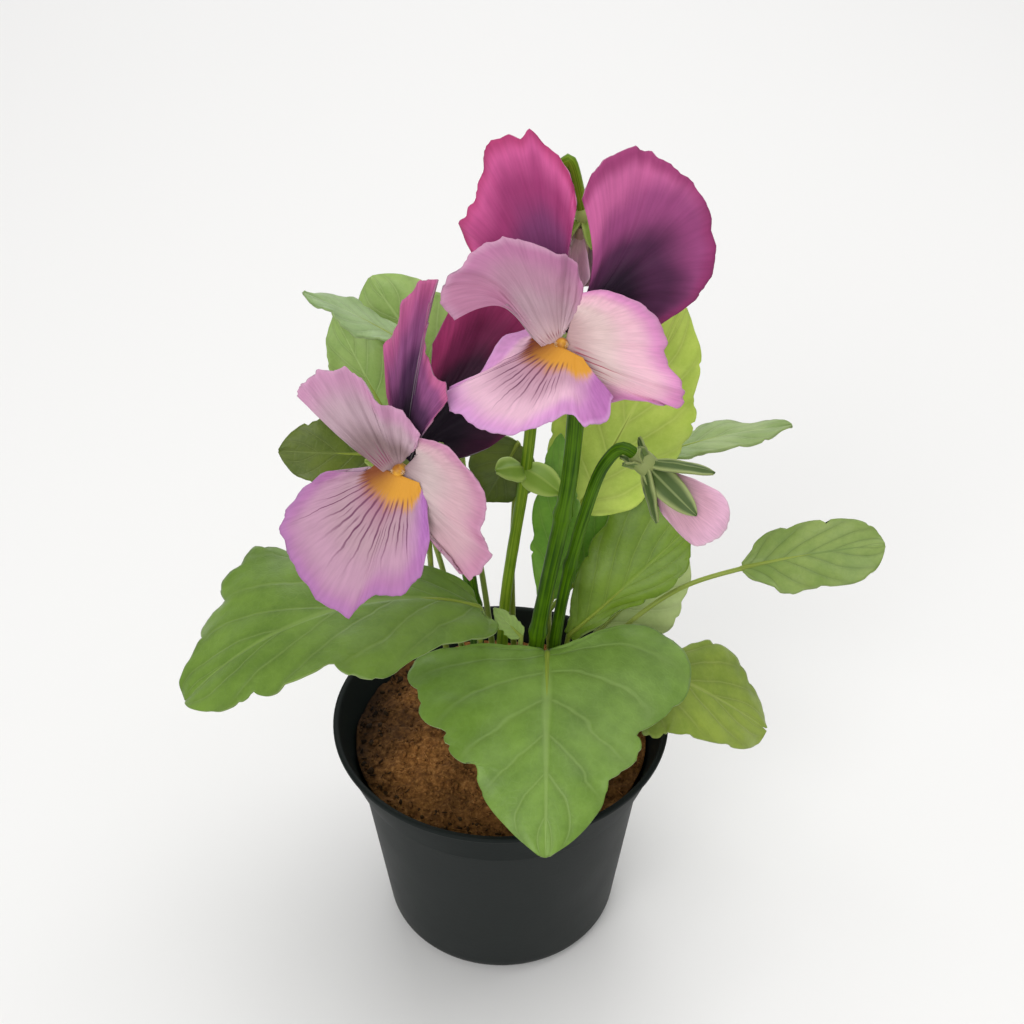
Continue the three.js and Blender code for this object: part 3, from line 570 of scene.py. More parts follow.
def sheet(bm, across, along, place, thickness):
    """A sheet of cells placed by a formula of its two shares, with a paler underside and a rim."""
    others = set(bm.faces)
    layers = bm.verts.layers.float_vector
    outward = layers.get("outward") or layers.new("outward")
    grid = bmesh.ops.create_grid(bm, x_segments=across, y_segments=along, size=0.5, calc_uvs=True)
    under = grid["verts"]
    for vert in under:
        vert.co = place(vert.co.x + 0.5, vert.co.y + 0.5) * MM
    skin = [face for face in bm.faces if face not in others]
    for face in skin:
        face.normal_update()
    for vert in under:
        vert.normal_update()
        vert[outward] = vert.normal
    edges = list({edge for face in skin for edge in face.edges})
    grown = bmesh.ops.extrude_face_region(bm, geom=skin + edges + under, use_keep_orig=True)["geom"]
    for vert in under:
        vert.co -= vert[outward] * thickness * MM
    for face in set(bm.faces) - others - set(grown):
        face.material_index = UNDERSIDE


def standing(foot):
    """The straight part of a stalk, from its foot in the soil to the top of the heap."""
    return [(*foot, z) for z in (STEM_FOOT, SOIL_LEVEL - 4, SOIL_LEVEL + SOIL_CROWN)]


def smooth_path(marks):
    """Points on a smooth curve through the marks, at about an even spacing."""
    marks = [Vector(mark) for mark in marks]
    marks = [2 * marks[0] - marks[1]] + marks + [2 * marks[-1] - marks[-2]]
    path = []
    for a, b, c, d in zip(marks, marks[1:], marks[2:], marks[3:]):
        back, here, ahead = [(q - p).length ** 0.5 for p, q in ((a, b), (b, c), (c, d))]
        leave = ((b - a) / back - (c - a) / (back + here) + (c - b) / here) * here
        arrive = ((c - b) / here - (d - b) / (here + ahead) + (d - c) / ahead) * here
        count = max(2, ceil((c - b).length / PATH_STEP))
        for k in range(count):
            t = k / count
            straight = b + (c - b) * (t * t * (3 - 2 * t))
            path.append(straight + leave * (t * (1 - t) ** 2) - arrive * (t * t * (1 - t)))
    path.append(marks[-2])
    return path


def tube(bm, path, radii, sides):
    """A closed round tube along the points, with a radius at each."""
    last = len(path) - 1
    headings = [(path[min(k + 1, last)] - path[max(k - 1, 0)]).normalized() for k in range(last + 1)]
    frames = []
    out = headings[0].orthogonal().normalized()
    for heading in headings:
        out = (out - heading * out.dot(heading)).normalized()
        frames.append((out, heading.cross(out)))
    known = set(bm.faces)
    made = bmesh.ops.create_grid(bm, x_segments=sides, y_segments=last, size=0.5, calc_uvs=True)["verts"]
    for vert in made:
        angle = 2 * pi * (vert.co.x + 0.5)
        row = round((vert.co.y + 0.5) * last)
        out, up = frames[row]
        vert.co = (path[row] + (out * cos(angle) + up * sin(angle)) * radii[row]) * MM
    bmesh.ops.remove_doubles(bm, verts=made, dist=1e-7)
    rims = [edge for edge in bm.edges if edge.is_boundary]
    bmesh.ops.holes_fill(bm, edges=rims)
    for face in set(bm.faces) - known:
        face.material_index = STALK


def leaf(name, skins, left, right, foot, via, **pose):
    """A leaf: its blade, with its two cut sides, and its petiole, which stands in the soil at foot
    and passes via."""
    left_edge, right_edge = cut_edge(left), cut_edge(right)
    lie = laid(**pose)
    half_width = pose["width"] / 2
    length = (Vector(pose["end"]) - Vector(pose["start"])).length
    seed = Vector((sum(ord(letter) for letter in name) * 0.37, 1.3, 2.1))

    def place(u, s):
        v = 1 - 2 * u
        edge = abs(v)
        cut = (left_edge if v < 0 else right_edge)(s)
        x = s ** 1.15 + (cut.x - s ** 1.15) * edge
        turn = s * length / TOOTH_LENGTH + noise.noise(seed + Vector((s * 7, v, 0)))
        notch = TOOTH_DEPTH * (1 - abs(sin(pi * turn))) ** 2 * sin(pi * min(1.0, 1.05 * s))
        y = (cut.y - notch * edge ** 6 / half_width) * v
        reach = abs(y) * half_width
        row = s * SIDE_VEINS - VEIN_LEAN * edge ** 0.85
        dome = abs(sin(pi * row)) ** 0.7 * min(1.0, reach / 5) * (1 - 0.5 * edge)
        groove = -0.35 * exp(-((reach / 0.8) ** 2)) * (1 - s)
        swell = noise.noise(Vector((x * length, y * half_width, 0)) * 0.09 + seed) * 1.1 * min(1, edge * 2)
        crimp = noise.noise(Vector((x * length, y * half_width, 4)) * 0.33 + seed) * 0.5 * edge ** 3
        return lie(x, y, edge, s, 0.32 * dome - 0.2 + groove + swell + crimp)

    bm = new_tissue()
    rows = len(left) - 1
    marks = [0, 1, 3, rows * 0.55, rows * 0.8, rows * 0.93]
    ridge = [lie((k / rows) ** 1.15, 0, 0, k / rows, -0.75) for k in marks]
    path = smooth_path(standing(foot) + via + ridge)
    blade_start = min(range(len(path)), key=lambda k: (path[k] - ridge[0]).length)
    radii = [
        PETIOLE_RADIUS - PETIOLE_TAPER * k / blade_start if k < blade_start
        else RIDGE_RADIUS - RIDGE_TAPER * ((k - blade_start) / (len(path) - 1 - blade_start)) ** 0.6
        for k in range(len(path))
    ]
    tube(bm, path, radii, PETIOLE_SIDES)
    across = 2 * max(8, round(half_width * 0.9 / BLADE_CELL))
    along = max(14, round(length * 1.1 / BLADE_CELL))
    sheet(bm, across, along, place, BLADE_THICKNESS)
    finished_piece(name + "_blade", bm, skins, "leaf", name)


leaf(
    "leaf_front", mid_green,
    left=[
        (-0.02, 0.05), (-0.03, 0.36), (-0.04, 0.7), (-0.02, 0.95), (0.07, 1.02), (0.17, 0.92),
        (0.32, 0.9), (0.42, 0.72), (0.5, 0.7), (0.59, 0.6), (0.6, 0.49), (0.69, 0.46),
        (0.79, 0.38), (0.89, 0.24), (0.99, 0.05),
    ],
    right=[
        (-0.02, 0.02), (-0.11, 0.31), (-0.25, 0.65), (-0.22, 0.91), (-0.04, 1.06), (0.13, 1.03),
        (0.28, 0.88), (0.43, 0.64), (0.52, 0.65), (0.6, 0.57), (0.66, 0.42), (0.73, 0.41),
        (0.85, 0.3), (0.94, 0.16), (0.99, 0.03),
    ],
    foot=(8, -7), via=[(9, -6, 80)],
    start=(12, -6, 97), end=(11, -56.5, 75.5), facing=(0, -0.35, 1),
    width=72, arch=45, roll=35, ruffle=1.4, waves=2,
)
leaf(
    "leaf_left", fresh_green,
    left=[
        (0, 0.2), (0.05, 0.3), (0.18, 0.45), (0.3, 0.67), (0.43, 0.91), (0.54, 1.08), (0.63, 1.3),
        (0.69, 1.14), (0.77, 1.0), (0.78, 0.81), (0.86, 0.76), (0.88, 0.52), (0.94, 0.33),
        (0.99, 0.2), (1, 0.02),
    ],
    right=[
        (0, 0.12), (-0.02, 0.32), (0.06, 0.52), (0.2, 0.6), (0.35, 0.82), (0.43, 0.89),
        (0.5, 0.78), (0.53, 0.65), (0.63, 0.64), (0.72, 0.6), (0.78, 0.47), (0.85, 0.48),
        (0.93, 0.35), (0.98, 0.16), (1, 0.04),
    ],
    foot=(-8, -4), via=[(-6, -2, 90), (-4.5, -3.5, 106)],
    start=(-5, -7, 113), end=(-76, -32, 104), facing=(-0.15, -0.15, 1),
    width=52, arch=85, roll=20, ruffle=1.2, waves=2.5,
)
leaf(
    "leaf_right_low", yellow_olive,
    left=[
        (0.05, 0.1), (0.14, 0.4), (0.22, 0.76), (0.29, 1.05), (0.36, 1.02), (0.41, 0.88),
        (0.57, 0.8), (0.74, 0.69), (0.9, 0.52), (1.0, 0.28), (1.03, 0.03),
    ],
    right=[
        (0.05, 0.1), (0.16, 0.2), (0.26, 0.3), (0.41, 0.55), (0.56, 0.89), (0.65, 0.96),
        (0.77, 0.82), (0.84, 0.62), (0.94, 0.5), (1.01, 0.25), (1.03, 0.03),
    ],
    foot=(14, -3), via=[(17, -2.5, 82)],
    start=(27, -1, 93), end=(71, 0, 64), facing=(0.3, -0.4, 1),
    width=36, arch=30, roll=15, ruffle=1, waves=2,
)
leaf(
    "leaf_right_far", grey_green,
    left=[
        (0, 0.1), (0.08, 0.31), (0.19, 0.48), (0.31, 0.71), (0.41, 0.66), (0.58, 0.7),
        (0.75, 0.71), (0.9, 0.49), (0.97, 0.25), (1, 0.04),
    ],
    right=[
        (0, 0.1), (0.08, 0.24), (0.15, 0.47), (0.31, 0.63), (0.45, 0.64), (0.65, 0.59),
        (0.82, 0.52), (0.93, 0.37), (0.98, 0.2), (1, 0.04),
    ],
    foot=(20, 3), via=[(27, 9, 83), (46, 13, 101)],
    start=(63, 13, 109), end=(98.5, 10, 119), facing=(0, -0.6, 1),
    width=28, arch=25, roll=-30, ruffle=0.6, waves=2,
)
leaf(
    "leaf_right_back", olive,
    left=[
        (0, 0.1), (0.09, 0.12), (0.23, 0.2), (0.4, 0.3), (0.56, 0.42), (0.72, 0.48), (0.85, 0.38),
        (0.91, 0.25), (0.96, 0.13), (1, 0.05),
    ],
    right=[
        (0, 0.1), (0.1, 0.2), (0.22, 0.47), (0.43, 0.73), (0.62, 0.9), (0.8, 0.97), (0.96, 0.85),
        (1.02, 0.61), (1.03, 0.32), (1.01, 0.05),
    ],
    foot=(17, 9), via=[(17.5, 8.5, 78)],
    start=(18, 8.5, 89), end=(49, 16, 120), facing=(-0.1, -1, 0.5),
    width=36, arch=20, roll=15, ruffle=0.8, waves=2,
)
leaf(
    "leaf_right_pale", pale_green,
    left=LONG_HALF, right=LONG_HALF,
    foot=(21, 14), via=[(22, 17, 70)],
    start=(26, 20, 80), end=(51, 33, 99), facing=(-0.1, -1, 0.6),
    width=26, arch=15, roll=15, ruffle=0.8, waves=2,
)
leaf(
    "leaf_back_tall", yellow_green,
    left=LONG_HALF, right=ROUND_HALF,
    foot=(9, 13), via=[(12, 15, 90), (17, 17, 112)],
    start=(20, 17, 124.5), end=(45, 28, 178), facing=(0.1, -1, 0.4),
    width=34, arch=15, roll=15, ruffle=1, waves=2,
)
leaf(
    "leaf_narrow", sage_green,
    left=LONG_HALF, right=LONG_HALF,
    foot=(14, 18), via=[(14, 25, 95), (26, 33, 118)],
    start=(39.5, 27, 135), end=(75, 30, 142), facing=(0, 0.1, 1),
    width=15, arch=22, roll=10, ruffle=0.5, waves=2.5,
)
leaf(
    "leaf_bright_back", bright_green,
    left=LONG_HALF, right=LONG_HALF,
    foot=(4, 15), via=[(12, 20, 86)],
    start=(20, 21, 97), end=(38, 26, 135), facing=(0.1, -1, 0.5),
    width=18, arch=15, roll=15, ruffle=0.6, waves=2,
)
leaf(
    "leaf_behind_stems", bright_green,
    left=LONG_HALF, right=ROUND_HALF,
    foot=(6.5, 7), via=[(8, 9, 84)],
    start=(13.5, 10.5, 100), end=(15, 13, 151), facing=(0, -1, 0.3),
    width=13, arch=10, roll=10, ruffle=0.5, waves=2,
)
leaf(
    "leaf_upper_left", light_green,
    left=ROUND_HALF, right=ROUND_HALF,
    foot=(-5, 16), via=[(-8, 21, 110)],
    start=(-12, 28, 154), end=(-32, 36, 182), facing=(-0.1, -1, 0.4),
    width=29, arch=15, roll=15, ruffle=0.8, waves=2,
)
leaf(
    "leaf_folded", blue_green,
    left=LONG_HALF, right=LONG_HALF,
    foot=(-1, 11), via=[(-5, 11, 110), (-13, 9, 160)],
    start=(-22, 11, 179), end=(-46, 18, 188), facing=(0, 0.2, 1),
    width=16, arch=15, roll=10, ruffle=0.8, waves=2,
)
leaf(
    "leaf_hanging", light_green,
    left=ROUND_HALF, right=LONG_HALF,
    foot=(-8, 9), via=[(-15, 11, 110)],
    start=(-26.5, 15, 152), end=(-39.5, 21, 180), facing=(-0.1, -1, 0.4),
    width=18, arch=15, roll=15, ruffle=0.8, waves=2,
)
leaf(
    "leaf_left_small", dark_olive,
    left=ROUND_HALF, right=ROUND_HALF,
    foot=(-11, 3), via=[(-17, 3, 110), (-20, 1, 146)],
    start=(-27, 0, 154), end=(-52, -4, 158), facing=(0, -1, 0.6),
    width=19, arch=20, roll=15, ruffle=0.5, waves=2,
)
leaf(
    "leaf_under_bloom", dark_olive,
    left=ROUND_HALF, right=LONG_HALF,
    foot=(4, 11), via=[(3, 13, 110), (4, 16, 136)],
    start=(4.5, 15.5, 146.5), end=(-4, 12, 131), facing=(0, -1, 0.5),
    width=18, arch=25, roll=10, ruffle=0.5, waves=2,
)
leaf(
    "leaf_small", light_green,
    left=LONG_HALF, right=LONG_HALF,
    foot=(2, -4), via=[(3, -3.5, 80)],
    start=(5.5, -2, 98), end=(-1.5, -2, 107.5), facing=(0, -1, 0.7),
    width=6, arch=15, roll=10, ruffle=0.3, waves=1,
)


# ------------------------------------------------------------------ petals
# Five thin satiny petals for each bloom, cut from a rounded outline with a ragged, frilled edge:
# rays fan out from a narrow claw, creased along the rays. Colour runs out from the claw, with
# fine dark veins of uneven length along the rays, and a yellow eye on each lower petal.

PETAL_THICKNESS = 0.35
PETAL_CELLS = (104, 44)
EYE_BROWN, EYE_GOLD = (0.22, 0.06, 0.020), (0.66, 0.31, 0.035)


def petal_skin(name, stops, lean=0.0, flanks=0.0, rim=None, rim_from=0.9, tint=None,
               tint_span=(0.0, 1.0), veins=0, vein_colour=(0.16, 0.02, 0.09), vein_length=0.5,
               vein_spread=0.5, vein_middle=0.5, vein_from=0.06, eye=0.0, streaks=0.07):
    """Satin petal skin. Stops colour it from claw to edge, lean slants them across the petal and
    flanks draws them in along both sides. Rim colours the edge and tint washes over one flank. The
    veins lie round vein_middle, and eye is how far out the yellow patch reaches."""
    skin, tree, shader, place, across, out = new_skin(name, 0.65, 0.06, 0.2)
    flank = maths(tree, "SUBTRACT", 1.0, across)
    wander = maths(tree, "MULTIPLY_ADD", noisy(tree, place, 55.0), 0.24, -0.12)
    slant = maths(tree, "MULTIPLY_ADD", flank, lean, -lean / 2)
    share = maths(tree, "ADD", maths(tree, "ADD", out, slant), wander)
    if flanks:
        aside = maths(tree, "ABSOLUTE", maths(tree, "MULTIPLY_ADD", flank, 2.0, -1.0))
        share = maths(tree, "MULTIPLY_ADD", maths(tree, "MULTIPLY", aside, aside), flanks, share)
    halved = [((stop + 0.5) / 2, colour) for stop, colour in stops]
    colour = coloured(tree, maths(tree, "MULTIPLY_ADD", share, 0.5, 0.25), halved, "EASE")
    if tint:
        wash = ramped(tree, maths(tree, "ADD", flank, wander), *tint_span)
        wash = maths(tree, "MULTIPLY", wash, ramped(tree, out, 0.15, 0.6))
        colour = mixed(tree, wash, colour, tint)
    if rim:
        band = ramped(tree, maths(tree, "MULTIPLY_ADD", wander, 0.5, out), rim_from, 1.0)
        colour = mixed(tree, maths(tree, "MULTIPLY", band, 0.75), colour, rim)
    rays = add_node(
        tree, "ShaderNodeCombineXYZ", {},
        {"X": maths(tree, "MULTIPLY", flank, 90.0), "Y": maths(tree, "MULTIPLY", out, 5.0)},
    ).outputs["Vector"]
    fibre = noisy(tree, rays, 1.0, 2.0)
    colour = shaded(tree, colour, ramped(tree, fibre, 0.25, 0.75, 1 - streaks, 1 + streaks))
    if eye:
        off = maths(tree, "ABSOLUTE", maths(tree, "SUBTRACT", flank, 0.5))
        ragged = maths(tree, "MULTIPLY_ADD", fibre, 0.2, -0.1)
        reach = maths(tree, "ADD", maths(tree, "MULTIPLY_ADD", off, -0.32, out), ragged)
        patch = ramped(tree, reach, eye * 0.5, eye * 1.1, 1.0, 0.0)
        gold = mixed(tree, ramped(tree, flank, 0.15, 0.65), EYE_BROWN, EYE_GOLD)
        colour = mixed(tree, patch, colour, gold)
    if veins:
        sway = maths(tree, "SUBTRACT", noisy(tree, place, 160.0), 0.5)
        bent = maths(tree, "MULTIPLY_ADD", sway, 0.035, flank)
        for count, start, thin, seed in (
            (veins, vein_from, 1.0, 0.0), (veins * 2, vein_from + 0.2, 0.8, 7.0),
        ):
            line = maths(tree, "MULTIPLY", bent, float(count))
            index = maths(tree, "FLOOR", maths(tree, "ADD", line, 0.5 + seed))
            chance = add_node(
                tree, "ShaderNodeTexWhiteNoise", {"noise_dimensions": "1D"}, {"W": index}
            ).outputs["Value"]
            width = maths(tree, "MULTIPLY", maths(tree, "PINGPONG", line, 0.5), out)
            breadth = thin * count / 20
            mark = ramped(tree, width, 0.016 * breadth, 0.060 * breadth, 0.9, 0.0)
            off = maths(tree, "ABSOLUTE", maths(tree, "SUBTRACT", flank, vein_middle))
            fall = ramped(tree, off, vein_spread * 0.5, vein_spread, 1.0, 0.0)
            long = maths(tree, "MULTIPLY", maths(tree, "MULTIPLY_ADD", chance, 0.6, 0.4), vein_length)
            long = maths(tree, "MULTIPLY", long, maths(tree, "MULTIPLY_ADD", fall, 0.7, 0.3))
            past = maths(tree, "DIVIDE", out, maths(tree, "MAXIMUM", long, 0.01))
            mark = maths(tree, "MULTIPLY", mark, ramped(tree, past, 0.55, 1.15, 1.0, 0.0))
            mark = maths(tree, "MULTIPLY", mark, ramped(tree, out, start, start + 0.08))
            mark = maths(tree, "MULTIPLY", mark, maths(tree, "MULTIPLY", fall, 0.85))
            colour = mixed(tree, mark, colour, vein_colour)
    tree.links.new(colour, shader.inputs["Base Color"])
    embossed(tree, shader, fibre, 0.16, 0.0004)
    return skin


def petal_pair(name, stops, **more):
    """The face of a petal and its paler back."""
    paler = [(stop, tuple(0.62 * c + 0.10 for c in colour)) for stop, colour in stops]
    return [petal_skin(name, stops, **more), petal_skin(name + "_back", paler, lean=more.get("lean", 0.0))]


def petal(name, skins, slot, centre, bloom_faces, to, layer, edge, face, width, claw=4.0,
          claw_reach=2.6, fan=1.2, bow=0.0, frill=1.0, teeth=1.0, folding=1.0, crease=None, **pose):
    """One petal of the bloom at centre. It starts claw wide, at claw_reach from the centre; its
    rays fan apart more with a greater fan, a bow bends the later ones to one side, a crease at
    (ray, depth) folds back all past that ray, and it lies in its own layer along the axis."""
    middle, axis = Vector(centre), Vector(bloom_faces).normalized()
    reach = Vector(to) - middle
    reach = (reach - axis * reach.dot(axis)).normalized()
    start = middle + reach * claw_reach + axis * layer
    lie = laid(start=start, end=to, facing=face, width=width, **pose)
    outline = cut_edge(edge)
    root = claw / width
    seed = sum(ord(letter) for letter in name) * 0.31

    def place(u, r):
        s = 1 - u
        cut = outline(s)
        rough = noise.noise(Vector((s * 27, seed, 0))) * 0.024
        rough += noise.noise(Vector((s * 80, 2, seed))) * 0.008
        grown = 1 + rough * teeth * r ** 4
        sway = bow * sin(pi / 2 * max(0.0, 2 * s - 1))
        x = cut.x * r * grown
        y = root * (2 * s - 1)
        y += (cut.y * grown - y) * r ** fan + sway * 6.75 * r * r * (1 - r)
        folds = noise.noise(Vector((s * 6, r * 1.3, seed))) * 1.9 * folding * r
        if crease:
            past = min(1.0, max(0.0, (s - crease[0]) / 0.05))
            folds -= crease[1] * past * past * (3 - 2 * past) * min(1.0, 2 * r)
        crinkle = noise.noise(Vector((s * 15, r * 9, seed + 9))) * 0.32 * r
        creases = noise.noise(Vector((s * 24, r * 1.8, seed + 5))) * 0.55 * r ** 0.7
        edge_frill = noise.noise(Vector((s * 15, 3.3, seed))) * 1.9 * frill * r ** 6
        return lie(x, y, r, s, folds + creases + crinkle + edge_frill - 0.5 * r ** 9)

    bm = new_tissue()
    sheet(bm, *PETAL_CELLS, place, PETAL_THICKNESS)
    finished_piece(name + "_sheet", bm, skins, slot, name)


# The upper bloom.

HIGH_BLOOM = {"centre": (14, -10, 191), "bloom_faces": (-0.05, -0.85, 0.55)}

petal(
    "bloom_1_upper_left_petal",
    petal_pair(
        "magenta_petal",
        [(0.25, (0.130, 0.042, 0.140)), (0.5, (0.210, 0.046, 0.155)), (0.74, (0.340, 0.042, 0.165)),
         (0.98, (0.680, 0.120, 0.340))],
        rim=(0.34, 0.020, 0.10), rim_from=0.9,
    ),
    "petal_purple", **HIGH_BLOOM, to=(5.8, 6, 234.2), layer=-2.8,
    edge=[
        (0.15, -0.13), (0.3, -0.2), (0.47, -0.34), (0.6, -0.48), (0.72, -0.48), (0.86, -0.36),
        (1, -0.06), (0.99, 0.22), (0.95, 0.52), (0.82, 0.66), (0.71, 0.83), (0.61, 1.05), (0.42, 0.98),
        (0.12, 0.48),
    ],
    face=(-0.1, -1, 0.25), fan=1.5, teeth=1.5,
    width=34, arch=-12, roll=-15, ruffle=0.7, waves=4,
)
petal(
    "bloom_1_upper_right_petal",
    petal_pair(
        "deep_purple_petal",
        [(0.38, (0.016, 0.005, 0.018)), (0.66, (0.072, 0.016, 0.058)), (0.90, (0.300, 0.058, 0.190)),
         (1.1, (0.560, 0.125, 0.320))],
        lean=0.62, rim=(0.26, 0.025, 0.12), rim_from=0.92,
    ),
    "petal_purple", **HIGH_BLOOM, to=(43.8, 4, 221.4), layer=-1.7,
    edge=[
        (0.06, -0.2), (0.17, -0.53), (0.36, -0.77), (0.56, -0.88), (0.71, -0.84), (0.83, -0.64),
        (0.97, -0.2), (1, 0.17), (0.98, 0.62), (0.94, 0.89), (0.8, 1.11), (0.69, 1.1), (0.57, 0.99),
    ],
    face=(0.2, -1, 0.3), fan=2.6,
    width=38, arch=-12, roll=-12, ruffle=0.7, waves=2.5,
)
petal(
    "bloom_1_left_side_petal",
    petal_pair(
        "rose_mauve_petal",
        [(0.05, (0.66, 0.49, 0.53)), (0.4, (0.47, 0.31, 0.37)), (0.68, (0.46, 0.24, 0.34)),
         (0.95, (0.46, 0.18, 0.33))],
        rim=(0.56, 0.30, 0.44), rim_from=0.93, tint=(0.49, 0.21, 0.34), tint_span=(0.66, 0.84),
        veins=16, vein_colour=(0.25, 0.02, 0.06), vein_length=0.22, vein_spread=0.9,
    ),
    "petal_mauve", **HIGH_BLOOM, to=(-11.6, -18, 206.8), layer=-0.4,
    edge=[
        (-0.06, -0.5), (0.01, -0.82), (0.13, -1.11), (0.29, -1.19), (0.52, -1.17), (0.79, -1.07),
        (0.98, -0.69), (1.03, -0.2), (0.99, 0.11), (0.81, 0.26),
    ],
    face=(0.15, -1, 0.15), bow=-0.42, claw=5.5, claw_reach=0.8, crease=(0.72, 2.0),
    width=32, arch=25, roll=20, ruffle=0.7, waves=3,
)
petal(
    "bloom_1_right_side_petal",
    petal_pair(
        "pink_beige_petal",
        [(0.0, (0.50, 0.33, 0.34)), (0.4, (0.70, 0.53, 0.52)), (0.72, (0.80, 0.49, 0.58)),
         (0.98, (0.68, 0.26, 0.52))],
        rim=(0.54, 0.24, 0.42), rim_from=0.92, tint=(0.42, 0.12, 0.29), tint_span=(0.35, 0.0),
        veins=15, vein_colour=(0.42, 0.02, 0.08), vein_length=0.55, vein_spread=0.45, vein_middle=0.2,
    ),
    "petal_mauve", **HIGH_BLOOM, to=(39.9, -21, 187.4), layer=-0.4,
    edge=[
        (0.23, -0.56), (0.47, -0.62), (0.78, -0.37), (0.94, -0.38), (1.04, -0.34), (1.04, -0.14),
        (1, 0.03), (0.84, 0.21), (0.79, 0.51), (0.68, 0.82), (0.51, 1), (0.21, 0.99), (-0.04, 0.77),
    ],
    face=(0, -1, 0.25), claw=14, claw_reach=0.6,
    width=30, arch=18, roll=12, ruffle=0.7, waves=3,
)
petal(
    "bloom_1_lower_petal",
    petal_pair(
        "lilac_petal",
        [(0.15, (0.42, 0.19, 0.25)), (0.5, (0.52, 0.30, 0.39)), (0.78, (0.74, 0.46, 0.58)),
         (1.0, (0.66, 0.31, 0.60))],
        flanks=0.42,
        rim=(0.62, 0.32, 0.60), rim_from=0.92, tint=(0.43, 0.15, 0.40), tint_span=(0.68, 0.95),
        veins=19, vein_colour=(0.10, 0.012, 0.06), vein_length=0.9, vein_spread=0.42, vein_middle=0.42,
        vein_from=0.16, eye=0.30,
    ),
    "petal_lilac", **HIGH_BLOOM, to=(0.4, -28.4, 179), layer=1.2,
    edge=[
        (-0.1, -0.32), (0.2, -0.53), (0.61, -0.61), (0.8, -0.75), (0.93, -0.79), (1, -0.5),
        (1.03, -0.21), (0.96, 0.12), (0.7, 0.3), (0.56, 0.45), (0.59, 0.7), (0.42, 0.84),
        (0.18, 0.75),
    ],
    face=(-0.05, -0.4, 1), claw=12, claw_reach=0.6, frill=1.2, teeth=1.6,
    width=44, arch=15, roll=10, ruffle=1, waves=4,
)

# The lower bloom.

LOW_BLOOM = {"centre": (-22, -28, 169.5), "bloom_faces": (-0.15, -0.85, 0.45)}

petal(
    "bloom_2_upper_left_petal",
    petal_pair(
        "dusky_purple_petal",
        [(0.3, (0.012, 0.004, 0.015)), (0.52, (0.065, 0.019, 0.066)), (0.74, (0.240, 0.066, 0.190)),
         (0.98, (0.400, 0.085, 0.230))],
        lean=0.22, rim=(0.52, 0.13, 0.28), rim_from=0.86, streaks=0.13,
    ),
    "petal_purple", **LOW_BLOOM, to=(-16.7, -12, 207.7), layer=-1.9,
    edge=[
        (0.21, -0.47), (0.38, -0.83), (0.47, -0.71), (0.57, -0.29), (0.69, -0.21), (0.86, -0.24),
        (1.01, -0.27), (1, 0.04), (0.87, 0.33), (0.73, 0.41), (0.62, 0.71), (0.34, 0.48),
    ],
    face=(-0.3, -1, 0.2), fan=1.7,
    width=22, arch=-10, roll=-40, ruffle=0.5, waves=3,
)
petal(
    "bloom_2_upper_right_petal",
    petal_pair(
        "wine_petal",
        [(0.4, (0.008, 0.003, 0.010)), (0.72, (0.030, 0.005, 0.020)), (0.92, (0.140, 0.012, 0.058)),
         (1.15, (0.320, 0.028, 0.120))],
        lean=0.7, streaks=0.12,
    ),
    "petal_purple", **LOW_BLOOM, to=(4.8, 8, 189.1), layer=-2.85,
    edge=[
        (0.06, -0.24), (0.16, -0.51), (0.32, -0.73), (0.5, -0.87), (0.68, -0.77), (0.84, -0.58),
        (0.97, -0.26), (1.03, 0.1), (1.04, 0.47), (0.9, 0.76), (0.55, 0.62),
    ],
    face=(0.1, -0.9, 0.55), fan=2, folding=1.9,
    width=36, arch=-8, roll=-12, ruffle=0.7, waves=3,
)
petal(
    "bloom_2_left_side_petal",
    petal_pair(
        "grey_mauve_petal",
        # the dark stop at 0.35 is painted shade, where the petal folds
        [(0.0, (0.40, 0.27, 0.30)), (0.35, (0.26, 0.175, 0.185)), (0.65, (0.50, 0.35, 0.41)),
         (0.95, (0.56, 0.28, 0.44))],
        rim=(0.60, 0.32, 0.48), rim_from=0.93,
        veins=15, vein_colour=(0.26, 0.02, 0.12), vein_length=0.42, vein_spread=0.4, vein_middle=0.8,
    ),
    "petal_mauve", **LOW_BLOOM, to=(-40.9, -33, 194.9), layer=-0.4,
    edge=[
        (0.03, -0.42), (0.1, -0.78), (0.32, -0.87), (0.54, -0.71), (0.72, -0.8), (0.87, -0.74),
        (1, -0.42), (1, -0.03), (0.95, 0.23),
    ],
    face=(0.2, -1, 0.15), claw=5.5, claw_reach=0.8,
    width=24, arch=20, roll=20, ruffle=0.6, waves=3,
)
petal(
    "bloom_2_right_side_petal",
    petal_pair(
        "dusty_pink_petal",
        [(0.0, (0.34, 0.24, 0.26)), (0.35, (0.55, 0.43, 0.43)), (0.68, (0.60, 0.38, 0.43)),
         (0.97, (0.52, 0.23, 0.36))],
        rim=(0.58, 0.30, 0.44), rim_from=0.93,
        veins=12, vein_colour=(0.30, 0.03, 0.09), vein_length=0.42, vein_spread=0.4, vein_middle=0.05,
    ),
    "petal_mauve", **LOW_BLOOM, to=(-2.7, -41, 153.3), layer=-0.4,
    edge=[
        (0.59, -0.43), (0.72, -0.4), (0.86, -0.47), (0.99, -0.5), (1.01, -0.19), (0.98, 0.24),
        (0.83, 0.31), (0.7, 0.71), (0.58, 0.97), (0.4, 1.1), (0.11, 1.01), (-0.1, 0.69),
    ],
    face=(-0.2, -0.9, 0.25), claw=11, claw_reach=0.4,
    width=24, arch=15, roll=15, ruffle=0.6, waves=3,
)
